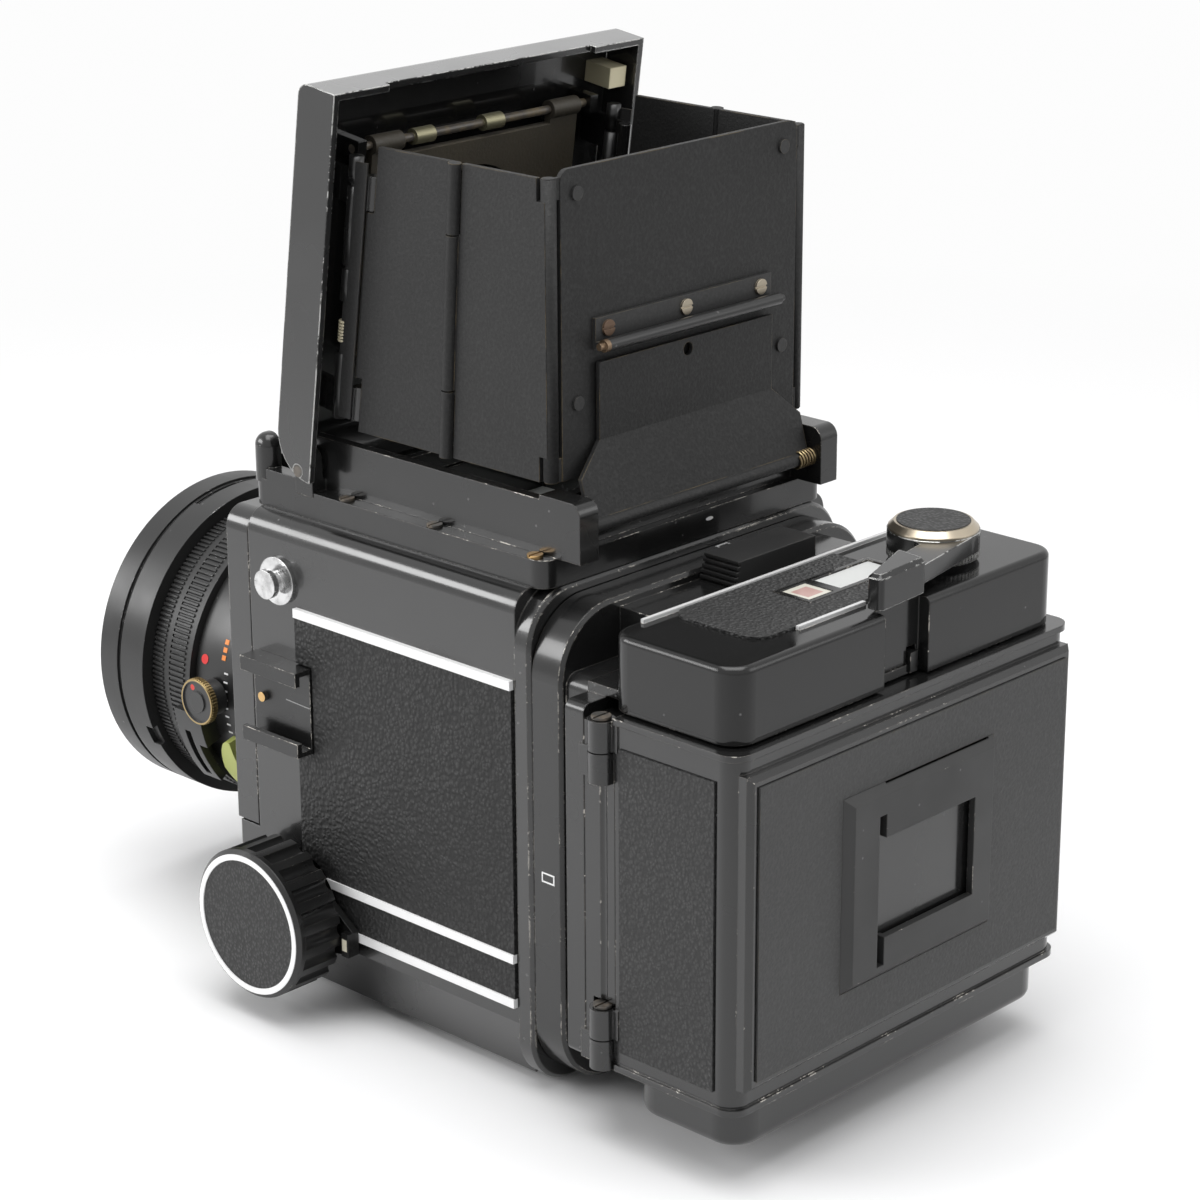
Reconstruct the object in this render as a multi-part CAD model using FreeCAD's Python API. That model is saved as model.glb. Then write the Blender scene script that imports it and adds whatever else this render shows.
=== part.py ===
import FreeCAD, Part
import math
import os

# A 6x7 single-lens reflex camera with a bellows front, a folding hood and a turning film back.
# Millimetres. +Z is up, the lens looks along -Y, the film back is at +Y and the left hand is at +X.
# The origin is the mouth of the tripod socket, on the plane that the camera stands on.

V = FreeCAD.Vector
X = V(1, 0, 0)
Y = V(0, 1, 0)
Z = V(0, 0, 1)

# Clearances
gap = 0.3
fit = 0.05

# Body casting
body_half = 52.0
body_front = -42.0
body_rear = 46.0
base_height = 3.0
axis_height = 60.5
flange_half_height = 59.5
body_top = axis_height + flange_half_height
body_shoulder = 5.0
sill_width = 5.0
sill_height = 14.0
chamber_half = 38.0
chamber_floor = 24.0
chamber_roof = 104.0
chamber_front = -36.0
chamber_rear = 43.0
mouth_half = 36.5
cheek_depth = 6.8
cheek_height = 40.0
cheek_inner = body_half - 14.0
screen_half = 35.7
screen_front = -31.7
screen_depth = 71.4
screen_ledge = 1.4
screen_thickness = 2.5

# Rear flange and turning adapter
flange_depth = 4.5
flange_half_width = 52.3
flange_corner = 13.0
adapter_depth = 8.7
adapter_half_width = 51.7
adapter_half_height = 57.0
adapter_corner = 16.0
spigot_radius = 48.8
spigot_wall = 2.8
spigot_length = 3.5
light_radius = 46.0
holder_half_width = 50.0
holder_bottom = 14.0
holder_top = 104.0
holder_rear = 66.0
gate_half = 36.0
shelf_left = 33.0
shelf_right = -36.0
shelf_rear = 75.6
shelf_bottom = 104.8
shelf_top = 115.2
foot_bottom = 6.0
foot_top = 10.0
foot_rear = 73.0

# Back lock sliders
slider_front = 59.8
slider_rear = 70.0
slider_left = 7.4
slider_right = -20.4
slider_height = 5.9
slider_ramp = 1.9
slider_ribs = 5
slider_rib_share = 0.6
slider_rib_depth = 0.6
slider_low_height = 4.1

# Base plate and tripod socket
base_half_width = 40.0
base_front = -40.0
base_back = 43.0
socket_radius = 3.2
socket_depth = 8.0
socket_boss = 9.0

# Side coverings and bright strips
leather_thickness = 0.9
leather_front = -25.7
leather_rear = 45.4
strip_height = 2.2
strip_proud = 0.4
upper_strip = 98.6
middle_strip = 33.0
lower_strip = 22.0

# Strap lugs
lug_y = -31.5
lug_z = 105.0
lug_base_radius = 5.8
lug_neck_radius = 2.4
lug_head_radius = 3.5
lug_head = 1.6
lug_length = 4.6

# Accessory shoe
shoe_front = -40.0
shoe_rear = -20.5
shoe_middle = 75.4
shoe_slot = 18.7
shoe_wall = 1.2
shoe_plate = 1.4
shoe_depth = 4.4
shoe_lip = 2.3
shoe_lip_thickness = 1.4
shoe_pin_radius = 1.2
shoe_pin_inset = 3.5
shoe_pin_height = 1.2

# Focusing drive
shaft_y = -27.0
shaft_z = 24.6
shaft_radius = 3.0
tooth_module = 1.0
pinion_teeth = 18
pinion_width = 6.0
tooth_root = 1.0
tooth_tip = 0.75
tooth_root_half = 0.85
tooth_tip_half = 0.35
rack_x = 30.0
rack_height = 5.0
rack_length = 67.0
channel_clearance = 0.7
boss_radius = 9.0
boss_length = 4.2
knob_gap = 0.6
knob_radius = 18.4
knob_width = 13.0
knob_chamfer = 0.9
knob_flutes = 20
knob_flute_radius = 1.8
knob_flute_reach = 18.9
knob_rim = 2.2
knob_ring_outer = 17.3
knob_cap_radius = 15.9
knob_dish = 1.0

# Focus lock lever
lock_ring_radius = 12.2
lock_lever_width = 1.8
lock_lever_reach = 21.0
lock_tab = 1.6

# Front standard and bellows
standard_thickness = 8.7
standard_corner = 5.0
standard_bevel = 1.2
standard_top = body_top - 1.0
standard_foot = 8.0
standard_foot_half = body_half - 14.6
standard_foot_corner = 4.0
standard_opening = 32.0
bellows_half = 35.5
bellows_wall = 3.4
bellows_fold = 1.6
bellows_pleats = 4
bellows_setback = 1.2

# Shutter release
release_inset = 7.0
release_z = 22.0
release_radius = 4.0
release_length = 12.0
release_proud = 3.4
release_travel = 2.0
release_ring_radius = 6.3
release_ring_depth = 2.6
release_grip = 2.2
cable_hole_radius = 1.3
cable_hole_depth = 4.0

# Cocking lever
cocking_y = -8.0
cocking_z = 52.0
cocking_hub_radius = 10.0
cocking_hub_width = 5.0
cocking_pin_radius = 3.0
cocking_head_radius = 4.2
cocking_length = 42.0
cocking_lean = 25.0
cocking_arm_width = 3.2
cocking_root_half = 5.5
cocking_tip_half = 4.5
cocking_grip_width = 6.5
cocking_grip_half = 6.0
cocking_grip_length = 14.0

# Reflex mirror
mirror_hinge_y = 39.0
mirror_hinge_z = 99.0
mirror_length = 71.0
mirror_half_width = 34.0
mirror_pin_radius = 1.6
mirror_pin_half = 40.0
mirror_frame_thickness = 1.8
mirror_glass_thickness = 1.4
mirror_glass_inset = 2.0
mirror_glass_start = 5.0

# Lens
mount_radius = 38.6
mount_recess = 3.0
throat_radius = 27.0
throat_length = 12.0
lock_ring_rear = -51.3
lock_ring_front = -58.5
lock_ring_ears = 3
ear_half = 7.0
ear_proud = 1.6
band_radius = 36.0
band_front = -83.6
aperture_rear = -84.0
aperture_front = -91.8
shutter_rear = -92.1
shutter_front = -98.0
ring_radius = 38.2
ring_step = 33.0
ring_skirt = 2.0
ring_skirt_drop = 0.4
front_rear = -98.3
front_radius = 41.3
front_step = 34.0
lens_front = -115.0
groove_front = -108.4
groove_rear = -107.0
groove_depth = 0.8
filter_radius = 38.5
filter_depth = 4.5
flare_length = 5.0
slot_cut = 1.4
slot_spans = ((-107.9, -105.2, 69.0, 98.0), (-101.0, -98.3, -28.0, -20.0))
front_glass_radius = 31.0
front_glass_bulge = 3.4
rear_glass_radius = 20.0
rear_glass_bulge = 2.2
rear_glass_y = -44.0
glass_edge = 2.4
tube_wall = 3.0
fine_depth = 0.5
fine_knurl_count = 190
deep_depth = 0.6
deep_knurl_count = 170
blade_inner = 12.0
blade_outer = 26.0
blade_thickness = 0.4
blade_count = 5
blade_y = -85.0
case_depth = 9.0

# Side knob and lever of the lens
mirror_knob_y = -75.6
mirror_knob_radius = 6.0
mirror_knob_neck = 4.6
mirror_knob_stem = 2.2
mirror_knob_start = 36.6
mirror_knob_rim = 1.9
mirror_knob_dish = 0.4
mirror_knob_boss = 2.7
mirror_knob_end = 42.6
mirror_knob_rib_count = 48
preview_front = -87.2
preview_rear = -80.4
preview_root = -77.4
preview_inner = 38.7
preview_outer = 40.8
preview_span = (-38.7, -7.0)
preview_root_span = (-20.0, -10.0)
preview_slot_span = (-36.0, -15.0)
preview_slot_front = -84.6
preview_slot_rear = -82.4
preview_slot_depth = 1.2

# Finder base
finder_half = 47.0
finder_front = -46.0
finder_rear = 50.2
finder_ledge = body_top + 6.5
finder_corner = 4.0
finder_opening_half = 37.0
finder_opening_front = -33.0
finder_opening_rear = 41.0
gallery_half = 43.0
gallery_inner = 40.4
gallery_front = -19.5
gallery_reach = -29.6
gallery_rear = 48.0
gallery_rear_wall = 2.6
gallery_front_wall = 2.0
gallery_top = finder_ledge + 12.5
gallery_front_top = finder_ledge + 4.5
post_inner = 37.2
post_front = 45.0
post_rear = 57.2
post_top = finder_ledge + 13.5
ear_inner = 43.0
ear_front = -46.0
ear_rear = -39.5
ear_top = finder_ledge + 10.5
curb_height = 2.6
rail_height = 4.0
rail_width = 2.4
finder_screw_inset = 2.1
finder_screw_rows = (45.5, -15.0, 14.0)
end_radius = 3.0

# Hood lid
lid_lean = 8.0
lid_half = 49.5
lid_bottom = body_top + 10.2
lid_top = lid_bottom + 92.1
lid_depth = 11.6
lid_wall = 1.6
lid_rim = -22.4
lid_pivot_y = -26.5
lid_pivot_z = body_top + 12.0
lid_pin_radius = 1.5
lid_heel = 10.6
lid_brow = 3.0
lid_notch_half = 33.0
lid_notch_depth = 1.6
lug_front = -30.0
lug_rear = -24.2
lug_top = lid_pivot_z + 4.4
lug_radius = 2.6
lug_inner = 43.9
lug_outer = 47.2
fold_offset = 5.2
bracket_low = lid_bottom + 15.8
bracket_high = lid_bottom + 65.8
bracket_height = 8.0
bracket_thickness = 1.2

# Hood walls
fold_front_x = 40.2
fold_middle_x = 42.3
fold_rear_y = 46.0
fold_datum = body_top + 54.0
wall_inner = 40.7
wall_thickness = 1.2
wall_bottom = gallery_top + 3.3
wall_top = wall_bottom + 66.7
knuckle_radius = 1.5
leaf_margin = 1.9
leaf_overlap = 0.5
front_knuckle_low = wall_bottom + 12.7
front_knuckle_high = wall_bottom + 51.5
middle_split_low = wall_bottom + 15.7
middle_split_high = wall_bottom + 50.7
corner_low = wall_bottom + 5.7
corner_high = wall_bottom + 61.7
panel_half = 38.3
panel_offset = 0.4
panel_thickness = 1.2
panel_top = wall_bottom + 68.2
panel_corner = 2.5

# Hinge leaf and link plate
leaf_half = 28.8
leaf_bottom = wall_bottom + 27.7
leaf_top = leaf_bottom + 7.0
leaf_thickness = 1.0
leaf_screw_z = leaf_bottom + 4.4
leaf_screws = (-25.0, 0.0, 25.0)
roll_y = 50.9
roll_z = leaf_bottom + 1.3
roll_radius = 1.4
roll_web = 0.5
rod_radius = 0.8
rod_half = 30.2
rivet_x = 33.5
rivet_inset = 4.0
rivet_rise = 16.7
link_gap = 0.8
link_thickness = 1.0
link_top = leaf_bottom - 2.6
link_half_top = 28.5
link_fold = gallery_top + 11.0
link_spread = gallery_top + 4.0
link_hole = 1.5
link_hole_drop = 2.5
link_half_bottom = 36.4
link_pivot_y = 53.8
link_pivot_z = body_top + 12.8
link_roll_radius = 1.5
link_pin_radius = 0.8
link_pin_half = 41.5

# Magnifier
magnifier_pivot_z = lid_top - 15.3
magnifier_setback = 5.0
magnifier_half = 33.0
magnifier_length = 52.0
magnifier_thickness = 2.0
magnifier_shoulder = 3.2
magnifier_corner = 4.0
magnifier_lens_radius = 18.0
magnifier_lens_bulge = 1.4
magnifier_rod_radius = 1.0
magnifier_knuckle_radius = 2.2
magnifier_knuckle_inner = 24.0
magnifier_bracket_inner = 36.0
magnifier_bracket_outer = 38.5
spring_radius = 1.9
spring_places = ((14.0, 20.0), (-8.0, -2.0))
catch_left = -41.0
catch_width = 5.6
catch_low = lid_top - 11.9
catch_height = 5.0
catch_depth = 8.0

# Film back frame
back_half = 57.0
back_front = 66.0
back_depth = 5.3
back_bottom = 19.0
back_top = 102.0
back_corner = 2.0
rim_half = 54.0
rim_wall = 2.0
rim_rear = 80.2
rim_low = 22.0
rim_high = 99.0
deck_low = 102.3
deck_high = 104.4
deck_half = 50.0
deck_rear = 110.0
tray_half = 54.0
tray_bottom = 9.2
tray_front = 82.0
tray_rear = 113.0
tray_corner = 7.0
tray_edge = 2.5
neck_half = 46.0
neck_bottom = 12.0
cheek_half = 56.8
gate_width = 70.0
gate_height = 57.0

# Dark slide
slide_slot_front = 68.2
slide_slot_depth = 1.4
slide_thickness = 1.0
slide_low = 26.0
slide_high = 95.0
slide_inner = 38.0
slide_handle_width = 7.0
slide_handle_margin = 6.0
slide_handle_proud = 1.0

# Back cover
cover_front = 80.5
cover_rear = 114.5
cover_low = 19.4
cover_high = 101.7
cover_half = 57.0
cover_wall = 2.0
cover_corner = 4.5
cover_rim = 0.7
cover_rim_height = 1.5
cover_panel_half = 55.2
cover_panel_low = 25.3
cover_panel_high = 97.1
cover_panel_proud = 2.5
cover_panel_edge = 1.2
cover_leather = 0.5
cover_leather_margin = 2.4
inset_front = 82.0
inset_rear = 109.0
inset_low = 24.2
inset_high = 95.0

# Cover hinge and latch
hinge_x = 57.4
hinge_y = 77.0
hinge_radius = 3.0
hinge_leaf = 2.6
hinge_pin_radius = 1.2
hinge_head_radius = 2.2
hinge_knuckle = 7.0
hinge_drop = 1.2
latch_low = 52.0
latch_high = 68.0
latch_front = 83.5
latch_rear = 92.0
latch_thickness = 1.8
latch_bevel = 0.5
latch_hook = 6.6
latch_hook_inset = 4.0
latch_travel = 3.0

# Top housing
housing_half = 55.0
housing_front = 76.3
housing_rear = 112.6
housing_low = 102.3
housing_high = 119.3
housing_corner = 6.0
housing_edge = 1.5
housing_wall = 2.2
recess_left = 7.0
recess_right = -8.0
recess_depth = 3.0
recess_wall = 1.5
recess_slot = 6.0
recess_slot_width = 3.2
recess_slot_margin = 0.8
bezel_left = 13.5
bezel_right = -19.0
bezel_front = 86.0
bezel_rear = 97.0
bezel_height = 0.7
bezel_bevel = 0.3
window_left = 12.0
window_right = 4.0
label_left = 1.5
label_right = -17.5
window_margin = 1.5
housing_leather_left = 38.7
housing_leather_right = -16.0
housing_leather_rear = 104.2
housing_leather_corner = 5.0
housing_leather_thickness = 0.6
trim_width = 1.0
trim_height = 0.9
trim_front_half = 46.0
trim_rear_span = (5.0, 27.0)
dial_radius = 15.0
dial_thickness = 1.2
dial_x = 18.0
dial_y = 94.0
dial_gap = 1.4
dial_hub = 2.6
dial_post = 1.2

# Wind lever
wind_x = -30.0
wind_y = 96.0
wind_hub_radius = 10.4
wind_hub_low = 120.4
wind_hub_high = 126.4
wind_ribs = 60
wind_rib_depth = 0.5
wind_arm_low = 122.0
wind_arm_high = 126.3
wind_reach = 39.0
wind_arm = ((-0.10, 0.25), (0.56, 0.375), (0.56, 0.18), (0.28, 0.125), (0.21, -0.08))
wind_thumb = ((1.00, 0.33), (0.99, 0.425), (0.565, 0.395), (0.535, 0.165))
wind_thumb_high = 128.3
wind_thumb_edge = 0.9
wind_thumb_corner = 1.2
wind_cap_high = 128.2
wind_cap_bevel = 1.3
wind_disc_radius = 8.3
wind_shaft_radius = 4.0
wind_gear_teeth = 21
spool_gear_teeth = 11
wind_module = 0.75
wind_tooth_root = 0.85
wind_tooth_tip = 0.55
wind_tooth_root_half = 0.62
wind_tooth_tip_half = 0.26
wind_gear_low = 107.0
wind_gear_high = 110.5

# Film insert
spool_x = -39.0
spool_core_radius = 6.0
spool_flange_radius = 12.5
spool_flange_thickness = 1.2
spool_low = 28.0
spool_high = 94.0
spool_shaft_radius = 2.5
spool_key_half = 2.2
spool_key_thickness = 1.2
spool_key_depth = 2.0
insert_front = 73.8
insert_rear = 107.0
insert_half = 51.6
insert_low = 24.4
insert_high = 96.6
insert_wall = 1.6
insert_web = 24.0
insert_web_front = 78.3
roller_x = 47.2
roller_y = 75.2
roller_radius = 2.4
pressure_front = 72.0
pressure_thickness = 1.4
pressure_half = 36.0
pressure_low = 31.0
pressure_high = 90.0
spring_leaf_half = 9.0
spring_leaf_thickness = 0.5
spring_leaf_reach = 20.0
spring_leaf_foot = 14.0
spring_leaf_crown = 8.0

# Memo clip
memo_half = 26.0
memo_low = 38.5
memo_high = 84.0
memo_thickness = 2.4
memo_window_left = 15.8
memo_window_right = -17.6
memo_window_low = 48.5
memo_window_high = 72.0
memo_slot = (13.4, 15.8)
memo_pocket = 0.7
memo_edge = 2.0

# Fasteners
screw_radius = 1.8
screw_height = 0.6
slot_width = 0.5
slot_depth = 0.35
rivet_radius = 1.6
base_screw_radius = 2.8
base_screw_tip = 1.6
base_screw_depth = 1.4
base_screw_places = ((-32.0, -32.0), (-32.0, 35.0), (32.0, -32.0), (32.0, 35.0))

# Worked-out places
flange_rear = body_rear + flange_depth
adapter_front = flange_rear + gap
adapter_rear = adapter_front + adapter_depth
standard_rear = body_front - gap
standard_front = standard_rear - standard_thickness
cheek_front = body_front - cheek_depth
pinion_radius = tooth_module * pinion_teeth / 2
rack_top = shaft_z - pinion_radius
release_x = release_inset - body_half
knob_inner = body_half + boss_length + knob_gap
knob_outer = knob_inner + knob_width
lever_inner = body_half + leather_thickness + strip_proud + gap
cocking_inner = -body_half - leather_thickness - gap
shoe_bottom = shoe_middle - shoe_slot / 2 - shoe_wall
shoe_over = shoe_middle + shoe_slot / 2 + shoe_wall
shoe_outer = body_half + shoe_plate + shoe_depth
screen_rear = screen_front + screen_depth
back_rear = back_front + back_depth
lid_front = lid_rim - lid_depth
magnifier_y = lid_rim - magnifier_setback
magnifier_low = magnifier_pivot_z - magnifier_length
magnifier_middle = magnifier_low + (magnifier_length - magnifier_shoulder) / 2
panel_front = fold_rear_y + panel_offset
panel_rear = panel_front + panel_thickness
cover_over = cover_rear + cover_panel_proud
link_front = panel_rear + link_gap
link_rear = link_front + link_thickness
housing_leather_front = housing_front + housing_edge + trim_width + gap
hinge_levels = (cover_high - 2 * hinge_knuckle - hinge_drop, cover_low)
finder_screw_places = [(side * (finder_half - finder_screw_inset), y) for y in finder_screw_rows
                       for side in (1, -1)]
rivet_places = [(side * rivet_x, z) for z in (wall_top - rivet_inset, wall_bottom + rivet_rise)
                for side in (1, -1)]
lean_slope = math.tan(math.radians(lid_lean))
half_slope = math.tan(math.radians(lid_lean / 2))
gear_distance = wind_module * (wind_gear_teeth + spool_gear_teeth) / 2
spool_y = wind_y - math.sqrt(gear_distance ** 2 - (wind_x - spool_x) ** 2)
mesh_angle = math.atan2(spool_y - wind_y, spool_x - wind_x)


def lean_point(y, z):
    turn = math.radians(lid_lean)
    dy = y - lid_pivot_y
    dz = z - lid_pivot_z
    return (lid_pivot_y + dy * math.cos(turn) + dz * math.sin(turn),
            lid_pivot_z + dz * math.cos(turn) - dy * math.sin(turn))


# The three folds of each hood side meet in one point high above the hood, so the side folds flat
fold_front_point = lean_point(lid_rim + fold_offset, fold_datum)
fold_apex = fold_front_point[1] + (fold_rear_y - fold_front_point[0]) / lean_slope


def fold_front_y(z):
    return fold_front_point[0] + (z - fold_front_point[1]) * lean_slope


def fold_middle_y(z):
    return fold_rear_y - (fold_apex - z) * half_slope


def fold_corner_y(z):
    return fold_rear_y


# Solid builders
def box(x0, x1, y0, y1, z0, z1):
    return Part.makeBox(abs(x1 - x0), abs(y1 - y0), abs(z1 - z0), V(min(x0, x1), min(y0, y1), min(z0, z1)))


def direction(axis):
    return {"x": X, "y": Y, "z": Z}[axis]


def point(axis, a, b, along):
    return {"x": V(along, a, b), "y": V(a, along, b), "z": V(a, b, along)}[axis]


def prism(axis, outline, start, end):
    corners = [point(axis, a, b, start) for a, b in outline]
    face = Part.Face(Part.makePolygon(corners + corners[:1]))
    return face.extrude(direction(axis) * (end - start))


def rod(axis, a, b, radius, start, end):
    return Part.makeCylinder(radius, abs(end - start), point(axis, a, b, min(start, end)), direction(axis))


def tube(axis, a, b, outer, inner, start, end):
    return rod(axis, a, b, outer, start, end).cut(rod(axis, a, b, inner, start, end))


def is_along(edge, axis):
    if len(edge.Vertexes) < 2:
        return False
    run = edge.Vertexes[1].Point.sub(edge.Vertexes[0].Point)
    return run.Length > 0 and abs(run.dot(direction(axis))) > 0.999 * run.Length


def round_edges(solid, axis, radius, keep=lambda middle: True):
    return solid.makeFillet(radius, [e for e in solid.Edges if is_along(e, axis) and keep(e.CenterOfMass)])


def soft_box(x0, x1, y0, y1, z0, z1, axis, radius):
    return round_edges(box(x0, x1, y0, y1, z0, z1), axis, radius)


def level_edges(solid, axis, level):
    found = []
    for edge in solid.Edges:
        bound = edge.BoundBox
        low = {"x": bound.XMin, "y": bound.YMin, "z": bound.ZMin}[axis]
        high = {"x": bound.XMax, "y": bound.YMax, "z": bound.ZMax}[axis]
        if abs(low - level) < 0.01 and abs(high - level) < 0.01:
            found.append(edge)
    return found


def bevel_rim(solid, axis, level, size):
    return solid.makeChamfer(size, level_edges(solid, axis, level))


def fuse(first, *others):
    return first.multiFuse(list(others)).removeSplitter()


def group(*solids):
    return Part.Compound(list(solids))


def mirrored(solid):
    return solid.mirror(V(0, 0, 0), X)


def pair(solid):
    return group(solid, mirrored(solid))


def turned(solid, axis, a, b, angle):
    copy = solid.copy()
    copy.rotate(point(axis, a, b, 0), direction(axis), angle)
    return copy


def leaned(solid):
    return turned(solid, "x", lid_pivot_y, lid_pivot_z, -lid_lean)


def ribbed(axis, a, b, radius, depth, count, start, end):
    outline = []
    for i in range(count):
        for share, reach in ((0.0, radius), (0.4, radius), (0.55, radius - depth), (0.85, radius - depth)):
            angle = 2 * math.pi * (i + share) / count
            outline.append((a + reach * math.cos(angle), b + reach * math.sin(angle)))
    return prism(axis, outline, start, end)


def gear(axis, a, b, pitch_radius, count, root, tip, root_half, tip_half, first, start, end):
    outline = []
    low = pitch_radius - root
    high = pitch_radius + tip
    for i in range(count):
        middle = first + 2 * math.pi * i / count
        for offset, reach in ((-root_half / low, low), (-tip_half / high, high),
                              (tip_half / high, high), (root_half / low, low)):
            outline.append((a + reach * math.cos(middle + offset), b + reach * math.sin(middle + offset)))
    return prism(axis, outline, start, end)


def lens_glass(radius, y, z, edge, bulge):
    ball = (radius ** 2 + bulge ** 2) / (2 * bulge)
    reach = edge / 2 + bulge
    front = Part.makeSphere(ball, V(0, y - reach + ball, z))
    rear = Part.makeSphere(ball, V(0, y + reach - ball, z))
    return rod("y", 0, z, radius, y - reach, y + reach).common(front).common(rear)


def screw(axis, a, b, start, side, radius):
    outer = start + side * screw_height
    inner = outer - side * slot_depth
    half = slot_width / 2
    slot = prism(axis, [(a - radius, b - half), (a + radius, b - half), (a + radius, b + half),
                        (a - radius, b + half)], inner, outer)
    return rod(axis, a, b, radius, start, outer).cut(slot)


# Body
def body_outline(half, top, low):
    sill = half - sill_width
    knee = low + sill_height
    return [(-sill, low), (sill, low), (half, knee), (half, top), (-half, top), (-half, knee)]


def flange_plate():
    low = axis_height - flange_half_height
    high = axis_height + flange_half_height
    plate = soft_box(-flange_half_width, flange_half_width, body_rear, flange_rear, low, high, "y",
                     flange_corner)
    return bevel_rim(plate, "y", flange_rear, 0.8)


def mirror_chamber():
    chamber = box(-chamber_half, chamber_half, chamber_front, chamber_rear, chamber_floor, chamber_roof)
    inner = rack_x - pinion_width / 2 - channel_clearance - tooth_root
    for side in (1, -1):
        chamber = chamber.cut(rod("x", shaft_y, shaft_z, pinion_radius + 3.2, side * inner,
                                  side * chamber_half))
    return chamber.cut(rod("x", shaft_y, shaft_z, shaft_radius + 2, -chamber_half, chamber_half))


def body_shell():
    shell = prism("y", body_outline(body_half, body_top, base_height), body_front, body_rear)
    shell = round_edges(shell, "y", body_shoulder, lambda m: m.z > body_top - 1)
    parts = [flange_plate()]
    for side in (1, -1):
        cheek = prism("y", body_outline(body_half, cheek_height, base_height), cheek_front, body_front)
        parts.append(cheek.common(box(side * cheek_inner, side * body_half, cheek_front, body_front, 0,
                                      body_top)))
        parts.append(rod("x", shaft_y, shaft_z, boss_radius, side * (body_half - 2),
                         side * (body_half + boss_length)))
    shell = fuse(shell, *parts)
    hollows = [mirror_chamber()]
    hollows.append(box(-mouth_half, mouth_half, body_front, chamber_front, axis_height - mouth_half,
                       axis_height + mouth_half))
    hollows.append(rod("y", 0, axis_height, light_radius, chamber_rear, flange_rear))
    hollows.append(rod("y", 0, axis_height, spigot_radius + gap, flange_rear - spigot_length - gap,
                       flange_rear))
    hollows.append(box(-screen_half + screen_ledge, screen_half - screen_ledge, screen_front + screen_ledge,
                       screen_rear - screen_ledge, chamber_roof, body_top))
    hollows.append(box(-screen_half - fit, screen_half + fit, screen_front - fit, screen_rear + fit,
                       chamber_roof + screen_ledge, body_top))
    for side in (1, -1):
        near = side * (rack_x - pinion_width / 2 - channel_clearance)
        far = side * (rack_x + pinion_width / 2 + channel_clearance)
        hollows.append(rod("x", shaft_y, shaft_z, pinion_radius + tooth_tip + channel_clearance, near, far))
        hollows.append(box(near, far, body_front, body_front + rack_length + 2,
                           rack_top - rack_height - channel_clearance, rack_top + tooth_tip + 1))
    hollows.append(rod("x", shaft_y, shaft_z, shaft_radius + fit, -knob_outer, knob_outer))
    hollows.append(rod("y", release_x, release_z, release_radius + fit, cheek_front,
                       cheek_front - release_proud + release_length + release_travel + 1))
    hollows.append(rod("x", mirror_hinge_y, mirror_hinge_z, mirror_pin_radius, -mirror_pin_half,
                       mirror_pin_half))
    hollows.append(rod("z", 0, 0, socket_boss, base_height, socket_depth + 2))
    for hollow in hollows:
        shell = shell.cut(hollow)
    return shell.removeSplitter()


def base_screw(x, y):
    return Part.makeCone(base_screw_radius, base_screw_tip, base_screw_depth, V(x, y, 0), Z)


def base_plate():
    plate = soft_box(-base_half_width, base_half_width, base_front, base_back, 0, base_height, "z", 6)
    plate = fuse(plate, rod("z", 0, 0, socket_boss, 0, socket_depth + 2))
    for x, y in base_screw_places:
        plate = plate.cut(base_screw(x, y))
    return plate.cut(rod("z", 0, 0, socket_radius, 0, socket_depth))


def body_fasteners():
    solids = []
    for x, y in base_screw_places:
        solids.append(base_screw(x, y).cut(box(x - 3, x + 3, y - slot_width / 2, y + slot_width / 2, 0,
                                               slot_depth)))
    for x, y in finder_screw_places:
        solids.append(screw("z", x, y, finder_ledge, 1, screw_radius))
    for side in (1, -1):
        solids.append(rod("x", lid_pivot_y, lid_pivot_z, lid_pin_radius, side * lug_inner, side * lid_half))
    solids.append(rod("x", link_pivot_y, link_pivot_z, link_pin_radius, -link_pin_half, link_pin_half))
    solids.append(rod("x", mirror_hinge_y, mirror_hinge_z, mirror_pin_radius, -mirror_pin_half,
                      mirror_pin_half))
    inner = body_half + shoe_plate
    solids.append(rod("x", shoe_front + shoe_pin_inset, shoe_middle, shoe_pin_radius, inner,
                      inner + shoe_pin_height))
    outer = cocking_inner - cocking_hub_width - gap
    solids.append(fuse(rod("x", cocking_y, cocking_z, cocking_pin_radius, outer, -body_half),
                       screw("x", cocking_y, cocking_z, outer, -1, cocking_head_radius)))
    return group(*solids)


def side_strips(side, levels, thickness):
    clear = rod("x", shaft_y, shaft_z, lock_ring_radius + 1.5, -knob_outer, knob_outer)
    return [box(side * body_half, side * (body_half + thickness), leather_front, leather_rear, low,
                high).cut(clear) for low, high in levels]


def side_leathers():
    half = strip_height / 2
    levels = ((middle_strip + half, upper_strip - half), (lower_strip + half, middle_strip - half))
    left = side_strips(1, levels, leather_thickness)
    left[0] = left[0].cut(box(body_half, shoe_outer, shoe_front, shoe_rear + gap, shoe_bottom - gap,
                              shoe_over + gap))
    right = side_strips(-1, levels, leather_thickness)
    right[0] = right[0].cut(rod("x", cocking_y, cocking_z, cocking_pin_radius + gap, -body_half - 2,
                                -body_half))
    return group(*left, *right)


def trim_strips():
    half = strip_height / 2
    levels = [(level - half, level + half) for level in (upper_strip, middle_strip, lower_strip)]
    thickness = leather_thickness + strip_proud
    return group(*side_strips(1, levels, thickness), *side_strips(-1, levels, thickness))


def strap_lugs():
    top = body_half + lug_length
    base = rod("x", lug_y, lug_z, lug_base_radius, body_half, body_half + 1)
    neck = rod("x", lug_y, lug_z, lug_neck_radius, body_half, top)
    head = rod("x", lug_y, lug_z, lug_head_radius, top - lug_head, top)
    return pair(fuse(base, neck, head))


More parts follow.
